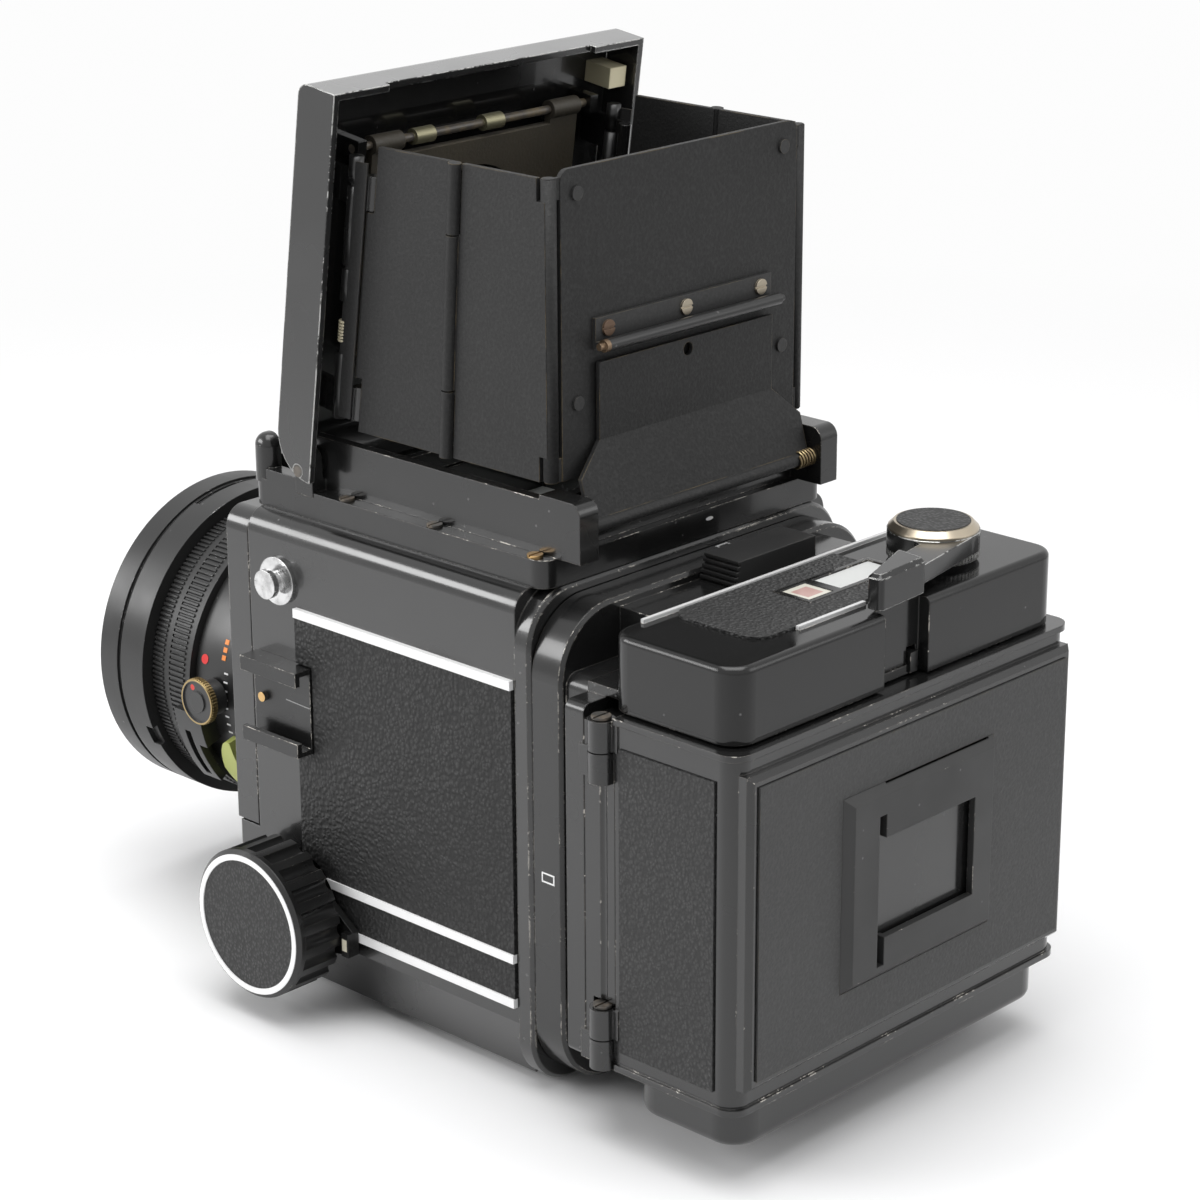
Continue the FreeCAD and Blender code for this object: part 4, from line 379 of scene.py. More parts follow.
# %% Leather group
def make_leather_group():
    tree, given, result = open_group(
        "pebbled_leather",
        [("Skin", "Color", grey(0.010)), ("Crown", "Color", grey(0.055)), ("Scale", "Float", 900.0)],
        [("Color", "Color"), ("Roughness", "Float"), ("Height", "Float")])
    half_scale = calc(tree, "MULTIPLY", given["Scale"], 0.5)
    feed = {"Vector": spot(tree), "Scale": half_scale, "Detail": 2.0}
    warp = add(tree, "TexNoise", feed).outputs["Color"]
    push = add(tree, "VectorMath", {0: warp, "Scale": 0.0011}, operation="SCALE").outputs[0]
    place = add(tree, "VectorMath", {0: spot(tree), 1: push}, operation="ADD").outputs[0]
    cells = add(tree, "TexVoronoi", {"Vector": place, "Scale": given["Scale"]}, feature="SMOOTH_F1")
    cells.inputs["Smoothness"].default_value = 0.35
    pebble = ramp(tree, cells.outputs["Distance"], 0.75, 0.15)
    fine = noise(tree, 4000.0, 2.0)
    height = calc(tree, "ADD", pebble, calc(tree, "MULTIPLY", fine, 0.12))
    worn = ramp(tree, noise(tree, 45.0, 3.0), 0.4, 0.7, 0.15, 0.6)
    crown = calc(tree, "MULTIPLY", ramp(tree, pebble, 0.45, 1.0), worn)
    tree.links.new(blend_colours(tree, crown, given["Skin"], given["Crown"]), result["Color"])
    tree.links.new(ramp(tree, pebble, 0.2, 1.0, 0.62, 0.42), result["Roughness"])
    tree.links.new(height, result["Height"])


make_leather_group()
print("leather nodes", len(bpy.data.node_groups["pebbled_leather"].nodes))

# %% [markdown]
# ## Masks by place
# Some CAD nodes hold several small solids of different finishes, such as a knob with its white ring and
# leather cap. Separate objects would change the nodes, so a mask made from a span along an axis, or from
# the distance to a shaft, picks the finish by place. Places are in millimetres, as on the drawing.

# %% Mask helpers
MM = 0.001


def axis_value(tree, axis):
    return add(tree, "SeparateXYZ", {0: spot(tree)}).outputs["XYZ".index(axis.upper())]


def between(tree, value, low, high):
    return calc(tree, "MULTIPLY", calc(tree, "GREATER_THAN", value, low * MM),
                calc(tree, "LESS_THAN", value, high * MM))


def span(tree, axis, low, high, size=False):
    value = axis_value(tree, axis)
    if size:
        value = calc(tree, "ABSOLUTE", value)
    return between(tree, value, low, high)


def ring(tree, axis, centre, low, high):
    others = [name for name in "xyz" if name != axis]
    squares = [calc(tree, "POWER", calc(tree, "SUBTRACT", axis_value(tree, name), middle * MM), 2.0)
               for name, middle in zip(others, centre)]
    return between(tree, calc(tree, "SQRT", calc(tree, "ADD", *squares)), low, high)


def both(tree, *masks):
    result = masks[0]
    for mask in masks[1:]:
        result = calc(tree, "MULTIPLY", result, mask)
    return result


def either(tree, *masks):
    result = masks[0]
    for mask in masks[1:]:
        result = calc(tree, "MAXIMUM", result, mask)
    return result


print("a millimetre is", MM, "m")

# %% [markdown]
# ## A material from layers
# Each finish is a stack, as on the bench: the first layer covers everything, and each further one lies
# over it where its mask is 1. One Principled shader then takes the blended colour, roughness and height.
# Mixing whole shaders would also work, but the export reads one shader's sockets best.

# %% Layers and the dress function
FINISHES = {}
BLENDED = (("Roughness", 0.5), ("Metallic", 0.0), ("Height", 0.5))


def layer(group, mask=None, **values):
    return {"group": group, "mask": mask, "values": values}


def plain(colour, mask, rough=0.4, metal=0.0):
    return {"group": None, "mask": mask, "Color": colour, "Roughness": rough, "Metallic": metal}


def layer_outputs(tree, item, edge):
    if item["group"] is None:
        return {key: item[key] for key in ("Color", "Roughness", "Metallic")}
    made = add(tree, "Group", node_tree=bpy.data.node_groups[item["group"]])
    for name, value in item["values"].items():
        made.inputs[name].default_value = value
    if "Edge" in made.inputs:
        tree.links.new(edge, made.inputs["Edge"])
    return {socket.name: socket for socket in made.outputs}


def stack_layers(tree, layers, edge):
    state = {}
    for item in layers:
        found = layer_outputs(tree, item, edge)
        if item["mask"] is None:
            state = dict(found)
            continue
        share = item["mask"](tree)
        state["Color"] = blend_colours(tree, share, state["Color"], found["Color"])
        for key, usual in BLENDED:
            if key in state or key in found:
                state[key] = blend_values(tree, share, state.get(key, usual), found.get(key, usual))
    return state


def dress(name, layers, radius=0.4, bump=0.25, depth=0.0002, **settings):
    material, tree, shader = new_material(name)
    for label, value in settings.items():
        shader.inputs[label.replace("_", " ")].default_value = value
    edges = add(tree, "Group", node_tree=bpy.data.node_groups["rounded_edges"])
    edges.inputs["Radius"].default_value = radius * MM
    state = stack_layers(tree, layers, edges.outputs["Edge"])
    for key, label in (("Color", "Base Color"), ("Roughness", "Roughness"), ("Metallic", "Metallic")):
        value = state.get(key)
        if isinstance(value, bpy.types.NodeSocket):
            tree.links.new(value, shader.inputs[label])
        elif value is not None:
            shader.inputs[label].default_value = value
    normal = edges.outputs["Normal"]
    if isinstance(state.get("Height"), bpy.types.NodeSocket):
        feed = {"Height": state["Height"], "Normal": normal, "Strength": bump, "Distance": depth}
        normal = add(tree, "Bump", feed).outputs[0]
    tree.links.new(normal, shader.inputs["Normal"])
    FINISHES[name] = material
    return material


def wear(material, *names):
    for name in names:
        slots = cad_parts[name].material_slots
        if not slots:
            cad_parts[name].data.materials.append(material)
        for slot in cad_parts[name].material_slots:
            slot.material = material


print("nodes to dress", len(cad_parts))

# %% [markdown]
# ## Enamel castings
# The castings are semi-gloss black enamel under a thin clear shine. They could share one material, but the
# finder and the shoe are rubbed more than the back, and the thumb polishes the wind lever. So each has its
# own wear and gloss from the same group.

# %% Enamel castings
wear(dress("body_enamel", [layer("worn_enamel", Wear=0.8, Gloss=0.20)], radius=0.6, bump=0.12,
           Coat_Weight=0.5, Coat_Roughness=0.08),
     "body_shell", "front_standard", "base_plate")
wear(dress("finder_enamel", [layer("worn_enamel", Wear=0.95, Gloss=0.22)], radius=0.4, bump=0.12,
           Specular_IOR_Level=0.4, Coat_Weight=0.3, Coat_Roughness=0.08),
     "finder_base", "revolving_adapter")
wear(dress("back_enamel", [layer("worn_enamel", Wear=0.7, Gloss=0.20)], radius=0.5, bump=0.12,
           Specular_IOR_Level=0.4, Coat_Weight=0.5, Coat_Roughness=0.08),
     "back_frame", "back_cover")
wear(dress("shoe_enamel", [layer("worn_enamel", Wear=1.2, Gloss=0.25)], radius=0.25, bump=0.12),
     "accessory_shoe", "cocking_lever")
wear(dress("lever_enamel", [layer("worn_enamel", Bare=(0.72, 0.72, 0.7, 1), Wear=1.5, Gloss=0.14)],
           radius=0.45, bump=0.12),
     "wind_lever")
print("castings dressed", len(FINISHES))

# %% [markdown]
# ## The hood's lid
# The lid leans back by 8 degrees. Its outside is rubbed pale, its inside is smooth and dark, and the faces
# of its top edge that look up are painted almost white: a painted highlight of the lamp above, over real
# rubbing. Three separate objects would show seams, so one material has three layers, with the inside found
# by a plane that leans with the lid and the top edge by faces that look up.

# %% Lid enamel
LID_PIVOT_Y, LID_PIVOT_Z, LID_LEAN = -26.5, 132.0, math.radians(8.0)
LID_INNER_FACE = -6.7
BARE_ALLOY = (0.75, 0.75, 0.73, 1)


def lid_inside(tree):
    forward = calc(tree, "SUBTRACT", axis_value(tree, "y"), LID_PIVOT_Y * MM)
    upward = calc(tree, "SUBTRACT", axis_value(tree, "z"), LID_PIVOT_Z * MM)
    depth = calc(tree, "SUBTRACT", calc(tree, "MULTIPLY", forward, math.cos(LID_LEAN)),
                 calc(tree, "MULTIPLY", upward, math.sin(LID_LEAN)))
    behind = calc(tree, "GREATER_THAN", depth, LID_INNER_FACE * MM)
    return both(tree, span(tree, "x", -1, 43.5, size=True), span(tree, "z", 100.0, 212.0), behind)


# Painted highlight: the upward faces of the top edge, lit by the lamp above, are painted pale over real
# rubbing.
def lid_top_highlight_and_wear(tree):
    normal = add(tree, "NewGeometry").outputs["Normal"]
    facing_up = add(tree, "SeparateXYZ", {0: normal}).outputs["Z"]
    return both(tree, calc(tree, "GREATER_THAN", facing_up, 0.7), span(tree, "z", 214.0, 230.0))


wear(dress("lid_enamel",
           [layer("worn_enamel", Paint=grey(0.022), Rubbed=(0.3, 0.29, 0.27, 1), Bare=BARE_ALLOY,
                  Wear=1.5, Gloss=0.24),
            layer("worn_enamel", lid_inside, Wear=0.15, Gloss=0.16),
            # The top edge's layer is a painted highlight in pale paint, with real rubbing and chips on it.
            layer("worn_enamel", lid_top_highlight_and_wear, Paint=grey(0.15), Rubbed=grey(0.5), Bare=BARE_ALLOY,
                  Wear=1.2, Gloss=0.3)],
           radius=0.5, bump=0.15, Coat_Weight=0.4, Coat_Roughness=0.06), "hood_lid")
print("lid leans", round(math.degrees(LID_LEAN), 1), "degrees")

# %% [markdown]
# ## Crackle sheets of the hood
# The folding sheets are thin steel with the matte crackle paint. The magnifier's plate is rubbed to an
# olive brown, so it gets the same paint in a warmer colour. A flat matte black would be quicker, but the
# fine net is what tells painted steel from plastic.

# %% Crackle sheets of the hood
wear(dress("crackle_sheet", [layer("crackle_paint", Wear=0.9)], radius=0.35, bump=0.5,
           Specular_IOR_Level=0.3),
     "hood_side_front_left", "hood_side_rear_left", "hood_side_front_right", "hood_side_rear_right",
     "hood_rear_panel", "hood_link_plate")
wear(dress("magnifier_plate", [layer("crackle_paint", Paint=(0.075, 0.064, 0.045, 1))],
           radius=0.3, bump=0.35),
     "magnifier_frame", "mirror_frame")
print("sheets dressed", len(FINISHES))

# %% [markdown]
# ## Leatherette
# The body's sides have a coarse grain, and the film back a finer one. The large panel on the cover's rear
# face looks like painted sheet, so it takes the crackle by its place. One leather for all would be quicker
# and would hide these differences, which the photograph shows.

# %% Leatherette
wear(dress("coarse_leather", [layer("pebbled_leather", Scale=950.0)], radius=0.2, bump=0.75,
           depth=0.0003, Specular_IOR_Level=0.38), "side_leathers")
wear(dress("fine_leather", [layer("pebbled_leather", Scale=1050.0, Crown=grey(0.09))],
           radius=0.2, bump=0.9, depth=0.0003), "housing_leather")


def cover_rear(tree):
    return span(tree, "y", 116.4, 118.5)


wear(dress("cover_leather",
           [layer("pebbled_leather", Scale=1150.0),
            layer("crackle_paint", cover_rear, Paint=grey(0.034))],
           radius=0.2, bump=0.6, depth=0.00025), "cover_leathers")
print("leathers dressed", len(FINISHES))

# %% [markdown]
# ## Handled metal
# Lugs and the release are chrome, shafts and racks are ground steel, and the iris is blued. An even mirror
# would look drawn, so a noise mixes in tarnish and roughens it. Metallic itself is a plain 1.

# %% Brushed and polished metal
def make_metal_group():
    tree, given, result = open_group(
        "handled_metal",
        [("Metal", "Color", grey(0.7)), ("Tarnish", "Color", grey(0.3)), ("Polish", "Float", 0.2)],
        [("Color", "Color"), ("Roughness", "Float"), ("Height", "Float")])
    patches = ramp(tree, noise(tree, 350.0, 4.0), 0.42, 0.68)
    colour = blend_colours(tree, patches, given["Metal"], given["Tarnish"])
    rough = calc(tree, "ADD", given["Polish"], calc(tree, "MULTIPLY", patches, 0.2))
    tree.links.new(colour, result["Color"])
    tree.links.new(rough, result["Roughness"])
    tree.links.new(noise(tree, 2500.0, 2.0), result["Height"])


make_metal_group()
METALS = (("bright_chrome", 0.6, 0.4, 0.14, 0.3, 0.03, ("strap_lugs", "release_button")),
          ("ground_steel", 0.5, 0.35, 0.3, 0.2, 0.05, ("focus_shaft", "focus_racks", "wind_shaft")),
          ("blued_steel", 0.06, 0.03, 0.35, 0.2, 0.05,
           ("iris_blades", "focus_lock_lever", "release_lock_ring")))
for name, metal, tarnish, polish, radius, bump, nodes in METALS:
    coat = layer("handled_metal", Metal=grey(metal), Tarnish=grey(tarnish), Polish=polish)
    wear(dress(name, [coat], radius=radius, bump=bump, Metallic=1.0), *nodes)
print("metals dressed", len(FINISHES))

# %% [markdown]
# ## Screw heads and pins
# Sixteen heads share one node. Most are blackened steel, and a few are bare brass: the row under the hood
# and the small one on the left side. Identical screws stay one group, so the brass is picked by place.

# %% Screw heads and pins
LEFT_SCREW = (-36.5, 75.4)


def brass_heads(tree):
    finder = both(tree, span(tree, "y", 43.5, 47.5), span(tree, "z", 126.0, 127.6))
    left = both(tree, span(tree, "x", 54.5, 55.0), ring(tree, "x", LEFT_SCREW, -1.0, 1.5))
    return either(tree, finder, left)


wear(dress("screw_heads",
           [layer("handled_metal", Metal=(0.05, 0.047, 0.043, 1), Tarnish=(0.16, 0.13, 0.1, 1),
                  Polish=0.3),
            plain((0.55, 0.36, 0.16, 1), brass_heads, 0.35, 1.0)],
           radius=0.15, bump=0.05, Metallic=1.0), "body_fasteners", "hinge_pins")
print("screws dressed", len(FINISHES))

# %% [markdown]
# ## The hood's hinge and the magnifier's axle
# The hinge leaf is crackle painted, its roll is smooth paint with one rubbed spot, and its screws are
# nickel, one of them browned. The axle carries two greenish coils. They are too small to be nodes of their
# own, so masks pick the finish again.

# %% Hinge and axle
HINGE_ROD = (50.9, 171.3)


def leaf_screws(tree):
    return both(tree, span(tree, "y", 48.65, 49.4), span(tree, "z", 172.0, 176.6))


def worn_screw(tree):
    return both(tree, leaf_screws(tree), span(tree, "x", 20.0, 30.0))


def hinge_roll(tree):
    return ring(tree, "x", HINGE_ROD, -1.0, 1.5)


def worn_roll(tree):
    return both(tree, hinge_roll(tree), span(tree, "x", 27.6, 31.0))


def axle_coils(tree):
    return either(tree, span(tree, "x", 13.9, 20.1), span(tree, "x", -8.1, -1.9))


wear(dress("hood_hinge",
           [layer("crackle_paint", Wear=0.8),
            layer("worn_enamel", hinge_roll, Paint=grey(0.013), Wear=0.8, Gloss=0.3),
            plain((0.2, 0.14, 0.09, 1), worn_roll, 0.4, 0.8),
            plain((0.42, 0.37, 0.29, 1), leaf_screws, 0.35, 1.0),
            plain((0.14, 0.09, 0.06, 1), worn_screw, 0.45, 0.6)], radius=0.2, bump=0.2), "hood_hinge_leaf")
wear(dress("magnifier_axle",
           [layer("handled_metal", Metal=(0.1, 0.09, 0.08, 1), Tarnish=(0.2, 0.16, 0.1, 1), Polish=0.3),
            plain((0.33, 0.31, 0.2, 1), axle_coils, 0.45, 0.7)],
           radius=0.2, bump=0.1, Metallic=1.0), "magnifier_rod")
print("hinge dressed", len(FINISHES))

# %% [markdown]
# ## Focus knobs and the wind lever's cap
# A focus knob is fluted enamel with a white ring in its face and a leather cap in the middle. The lever's
# cap is a pale gold ring round a leather disc. Both are turned parts, so a distance from the shaft marks
# each band exactly, where an image would need its centre found by eye.

# %% Knob faces
KNOB_SHAFT, KNOB_CAP, KNOB_RING = (-27, 24.6), 15.85, 17.35
LEVER_SHAFT, LEVER_DISC = (-30, 96), 8.3


def knob_face(tree):
    return span(tree, "x", 68.75, 71.0, size=True)


def knob_ring(tree):
    return both(tree, knob_face(tree), ring(tree, "x", KNOB_SHAFT, KNOB_CAP, KNOB_RING))


def knob_cap(tree):
    return both(tree, knob_face(tree), ring(tree, "x", KNOB_SHAFT, -1, KNOB_CAP))


def lever_disc(tree):
    return ring(tree, "z", LEVER_SHAFT, -1, LEVER_DISC)


wear(dress("focus_knob",
           [layer("worn_enamel", Wear=0.5, Gloss=0.3),
            plain(grey(0.86), knob_ring, 0.35),
            layer("pebbled_leather", knob_cap, Scale=1200.0)],
           radius=0.3, bump=0.4, depth=0.00025), "focus_knobs")
wear(dress("lever_cap",
           [plain((0.46, 0.40, 0.31, 1), None, 0.28, 1.0),
            layer("pebbled_leather", lever_disc, Scale=1200.0)],
           radius=0.25, bump=0.4, depth=0.00025), "wind_lever_cap")
print("knobs dressed", len(FINISHES))

# %% [markdown]
# ## White lines and plastics
# The trim is white paint, and the sliders, the dark slide and the catch are moulded. A plain colour would
# do for new plastic. Old plastic wears at its edges as enamel does, only less, so it uses the same group.

# %% White lines and plastics
wear(dress("white_line", [layer("worn_enamel", Paint=grey(0.84), Rubbed=grey(0.6), Bare=grey(0.5),
                                Wear=0.2, Gloss=0.3)], radius=0.2, bump=0.05), "trim_strips")
wear(dress("black_plastic", [layer("worn_enamel", Paint=grey(0.02), Wear=0.3, Gloss=0.45)],
           radius=0.35, bump=0.2),
     "lock_slider_top", "lock_slider_bottom", "dark_slide", "memo_clip", "cover_latch", "take_up_spool")
wear(dress("cream_plastic", [layer("worn_enamel", Paint=(0.72, 0.66, 0.45, 1), Rubbed=(0.5, 0.44, 0.3, 1),
                                   Bare=(0.6, 0.55, 0.4, 1), Wear=0.3, Gloss=0.4)],
           radius=0.4, bump=0.1),
     "magnifier_catch")
wear(dress("dark_insert", [layer("worn_enamel", Paint=grey(0.03), Wear=0.5, Gloss=0.4)],
           radius=0.3, bump=0.15),
     "film_insert")
print("plastics dressed", len(FINISHES))

# %% [markdown]
# ## The film back's housing
# The housing is the glossiest piece. White lines are printed on its top, a blank pale label lies in its
# middle, and a small window shows the frame counter. Lines of mesh would have to be bent over the edges,
# and print has no thickness, so they are painted by place.

# %% Housing and window
def trim_lines(tree):
    front = both(tree, span(tree, "y", 77.75, 78.85), span(tree, "x", 0, 46.05, size=True))
    rear = both(tree, span(tree, "y", 104.45, 105.55), span(tree, "x", 4.95, 27.05))
    return both(tree, span(tree, "z", 119.32, 120.4), either(tree, front, rear))


def label_plate(tree):
    level = span(tree, "z", 119.55, 119.65)
    return both(tree, level, span(tree, "x", -17.5, 1.5), span(tree, "y", 87.5, 95.5))


def window_mark(tree):
    inner = both(tree, span(tree, "x", 5.4, 10.6), span(tree, "y", 89.0, 94.0))
    return both(tree, inner, span(tree, "z", 119.7, 119.9))


wear(dress("housing_enamel",
           [layer("worn_enamel", Wear=0.9, Gloss=0.10),
            plain(grey(0.62), trim_lines, 0.3),
            plain((0.62, 0.63, 0.62, 1), label_plate, 0.5)],
           radius=0.5, bump=0.08, Specular_IOR_Level=0.4), "back_housing")
wear(dress("window_face",
           [plain((0.66, 0.64, 0.56, 1), None, 0.12),
            plain((0.5, 0.31, 0.28, 1), window_mark, 0.12)], radius=0.15), "counter_window")
print("housing dressed", len(FINISHES))

# %% [markdown]
# ## The lens
# The barrels are satin black anodising, and the grips are a little greyer where fingers turn them. The
# enamel group serves, at a rougher gloss, instead of a new effect. The mirror-up knob has a gold ring and
# a red dot, both round, so both come from the distance to a centre.

# %% Lens barrels and rings
LENS_HEIGHT = 60.5
KNOB_CENTRE, KNOB_DOT = (-75.6, LENS_HEIGHT), (-77.4, 63.9)


def gold_ring(tree):
    return ring(tree, "x", KNOB_CENTRE, 5.4, 6.5)


def red_dot(tree):
    return ring(tree, "x", KNOB_DOT, -1, 0.75)


wear(dress("lens_satin",
           [layer("worn_enamel", Paint=grey(0.014), Rubbed=grey(0.09), Bare=grey(0.45), Wear=0.55,
                  Gloss=0.36)], radius=0.3, bump=0.15),
     "lens_barrel", "lens_lock_ring", "lens_front_barrel", "preview_lever")
wear(dress("ribbed_grip",
           [layer("worn_enamel", Paint=grey(0.018), Rubbed=grey(0.12), Bare=grey(0.4), Wear=0.8,
                  Gloss=0.42)], radius=0.15, bump=0.15),
     "aperture_ring", "shutter_speed_ring")
wear(dress("mirror_knob",
           [plain(grey(0.05), None, 0.35, 0.5),
            plain((0.36, 0.27, 0.13, 1), gold_ring, 0.32, 1.0),
            plain((0.6, 0.03, 0.02, 1), red_dot, 0.4)], radius=0.2), "mirror_up_knob")
print("lens dressed", len(FINISHES))

# %% [markdown]
# ## Glass, mirror and screen
# The glasses are real solids, so they get real glass with a faint green coat. The focusing screen is
# ground on one side, so it is half clear and rough, and the reflex mirror is silver on its front. A
# painted dark disc would be cheaper than glass, but it would stay dark from every side.

# %% Glass, mirror and screen
def clear_material(name, colour, rough, transmission=1.0, metal=0.0):
    material, _, shader = new_material(name)
    for label, value in (("Base Color", colour), ("Roughness", rough), ("Transmission Weight", transmission),
                         ("IOR", 1.5), ("Metallic", metal)):
        shader.inputs[label].default_value = value
    FINISHES[name] = material
    return material


wear(clear_material("coated_glass", (0.86, 0.9, 0.88, 1), 0.0), "lens_glasses", "magnifier_lens")
wear(clear_material("ground_glass", (0.7, 0.72, 0.7, 1), 0.5, 0.6), "focusing_screen")
wear(clear_material("silvered", (0.85, 0.86, 0.86, 1), 0.03, 0.0, 1.0), "mirror_glass")
print("glasses dressed", len(FINISHES))

# %% [markdown]
# ## The counter's dial
# Under the window turns a cream disc with marks. Numbers would have to be lettered, and only a corner of
# the disc ever shows, so one plain red mark stands for them.

# %% Counter dial
def dial_marks(tree):
    across = both(tree, span(tree, "x", 6.0, 8.2), span(tree, "y", 89.0, 93.5))
    return both(tree, span(tree, "z", 115.6, 115.8), across)


wear(dress("counter_face",
           [plain((0.8, 0.76, 0.6, 1), None, 0.5, 0.0),
            plain((0.65, 0.12, 0.08, 1), dial_marks, 0.5)], radius=0.2), "counter_dial")
print("finishes", len(FINISHES))

# %% [markdown]
# ## Helpers for added meshes
# The pieces below are thin or soft and belong to the scene alone. They could be modelled by hand, but each
# follows a simple rule, so a rule makes it: rings joined to a tube, or an outline pushed out to a slab.

# %% Mesh helpers
def make_piece(name, points, faces, material, body, smooth=False):
    mesh = bpy.data.meshes.new(name)
    mesh.from_pydata([Vector(p) * MM for p in points], [], faces)
    tidy = bmesh.new()
    tidy.from_mesh(mesh)
    bmesh.ops.recalc_face_normals(tidy, faces=tidy.faces)
    tidy.to_mesh(mesh)
    tidy.free()
    for face in mesh.polygons:
        face.use_smooth = smooth
    mesh.materials.append(material)
    piece = bpy.data.objects.new(name, mesh)
    bpy.context.scene.collection.objects.link(piece)
    if body:
        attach(piece, body)
    return piece


def tube_faces(first, count):
    return [(first + j, first + (j + 1) % count, first + count + (j + 1) % count, first + count + j)
            for j in range(count)]


def sweep_rings(rings):
    count = len(rings[0])
    points = [p for loop in rings for p in loop]
    faces = [face for i in range(len(rings) - 1) for face in tube_faces(i * count, count)]
    return points, faces


def slab(outline, offset, thick):
    count = len(outline)
    points = [tuple(Vector(p)) for p in outline]
    points += [tuple(Vector(p) + Vector(offset) * thick) for p in outline]
    faces = [tuple(range(count))[::-1], tuple(range(count, 2 * count))]
    return points, faces + tube_faces(0, count)


def flat_finish(name, colour, rough=0.45, metal=0.0):
    return dress(name, [plain(colour, None, rough, metal)], radius=0.1)


print("pieces so far", len(bpy.data.meshes))

# %% [markdown]
# ## Pleated bellows
# The bellows is pleated cloth between the body and the lens standard. A cloth simulation would have to run
# again at each focus, and the motion is only a stretch along the lens. So a skin of folded rings is
# made, which stands still: it is not tied to the body or the standard.

# %% Pleated bellows
PLEATS, REAR_PLEAT, FRONT_PLEAT = 8, -37.1, -42.4
CORNER_CUT = 3.0
OUTER_SKIN, INNER_SKIN = (35.4, 33.8, 1), (33.0, 31.6, -1)


def square_ring(half, y):
    c, z = half - CORNER_CUT, LENS_HEIGHT
    return [(-half, y, z - c), (-c, y, z - half), (c, y, z - half), (half, y, z - c),
            (half, y, z + c), (c, y, z + half), (-c, y, z + half), (-half, y, z + c)]


def bellows_rings():
    rings = []
    for half_out, half_in, order in (OUTER_SKIN, INNER_SKIN):
        for i in range(2 * PLEATS + 1)[::order]:
            y = REAR_PLEAT + (FRONT_PLEAT - REAR_PLEAT) * i / (2 * PLEATS)
            rings.append(square_ring(half_out if i % 2 == 0 else half_in, y))
    rings.append(rings[0])
    return rings


cloth = dress("bellows_cloth", [layer("crackle_paint", Paint=grey(0.012), Wear=0.2)], radius=0.2, bump=0.3)
pleated = make_piece("pleated_bellows", *sweep_rings(bellows_rings()), cloth, None)
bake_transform(pleated)
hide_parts("bellows")
print("bellows faces", len(pleated.data.polygons))

# %% [markdown]
# ## Index marks on the film back
# A small white outline shows which way the back is turned. Painted by a mask it would cover whatever else
# lies at its place, so it is a raised line only a tenth of a millimetre thick.

# %% Index marks
index_white = flat_finish("index_white", grey(0.8))
MARK_SUNK, MARK_RAISED, MARK_LINE = -0.05, 0.12, 0.35


def outline_mark(name, centre, across, upward, outward, width, height, body):
    points, faces = [], []
    centre, across, upward, outward = (Vector(v) for v in (centre, across, upward, outward))
    corners = ((-1, -1), (1, -1), (1, 1), (-1, 1))
    for lift in (MARK_SUNK, MARK_RAISED):
        for shrink in (0.0, MARK_LINE):
            for sx, sy in corners:
                points.append(centre + across * sx * (width / 2 - shrink)
                              + upward * sy * (height / 2 - shrink) + outward * lift)
    for i in range(4):
        j = (i + 1) % 4
        faces += [(8 + i, 8 + j, 12 + j, 12 + i), (i, j, 8 + j, 8 + i), (4 + i, 4 + j, 12 + j, 12 + i),
                  (i, j, 4 + j, 4 + i)]
    return make_piece(name, points, faces, index_white, body)


outline_mark("side_index", (51.7, 55.2, 55.4), (0, 1, 0), (0, 0, 1), (1, 0, 0), 3.9, 2.4, "back")
outline_mark("top_index", (-9.0, 52.6, 117.5), (1, 0, 0), (0, 1, 0), (0, 0, 1), 3.9, 2.2, "back")
print("index marks on the back")

# %% [markdown]
# ## Printed marks on the round barrel
# The lens has a red dot to line up its mount, three orange dashes and a row of white ticks. They follow
# the barrel's curve, so each is built from an angle, a distance along the axis and a reach from it. Flat
# plates would stand off the metal at their ends.

# %% Marks on the barrel
BARREL_REACH, MARK_ROOT = 36.0, 0.05
red = flat_finish("index_red", (0.65, 0.02, 0.02, 1))
orange = flat_finish("index_orange", (0.75, 0.22, 0.03, 1))
lime = flat_finish("scale_lime", (0.40, 0.44, 0.12, 1), 0.5)


def barrel_spot(y, angle, reach):
    turn = math.radians(angle)
    return Vector((reach * math.cos(turn), y, LENS_HEIGHT + reach * math.sin(turn)))


def barrel_patch(name, y0, y1, a0, a1, material, steps, lift=0.1):
    low, high = BARREL_REACH - MARK_ROOT, BARREL_REACH + lift
    rings = []
    for i in range(steps + 1):
        angle = a0 + (a1 - a0) * i / steps
        rings.append([barrel_spot(y, angle, r) for y, r in ((y0, low), (y1, low), (y1, high), (y0, high))])
    points, faces = sweep_rings(rings)
    faces += [(0, 1, 2, 3), tuple(4 * steps + j for j in (3, 2, 1, 0))]
    return make_piece(name, points, faces, material, "front")


def barrel_round(name, y, angle, radius, material, lift=0.12, count=20):
    spread = math.degrees(radius / BARREL_REACH)
    turns = [2 * math.pi * i / count for i in range(count)]
    points = [barrel_spot(y + radius * math.cos(turn), angle + spread * math.sin(turn), reach)
              for reach in (BARREL_REACH - MARK_ROOT, BARREL_REACH + lift) for turn in turns]
    faces = [tuple(range(count)), tuple(range(count, 2 * count))]
    return make_piece(name, points, faces + tube_faces(0, count), material, "front")


barrel_round("barrel_dot", -80.7, 13.0, 1.25, red)
for i in range(3):
    start = 15.0 + 3.2 * i
    barrel_patch(f"orange_mark_{i}", -74.6, -73.2, start, 17.0 + 3.2 * i, orange, 3)
for i in range(9):
    start = -19.0 + 3.6 * i
    barrel_patch(f"barrel_tick_{i}", -73.0, -71.6, start, -18.3 + 3.6 * i, index_white, 1)
print("marks on the barrel", 1 + 3 + 9)

# %% [markdown]
# ## The raised scale plate beside the lever
# A lime scale is cut on a slant that follows the preview lever. A slab bent with a modifier would also do.
# Here its slanted edge is a short list of places on the barrel, with three more between each two, so that
# the plate follows the round.

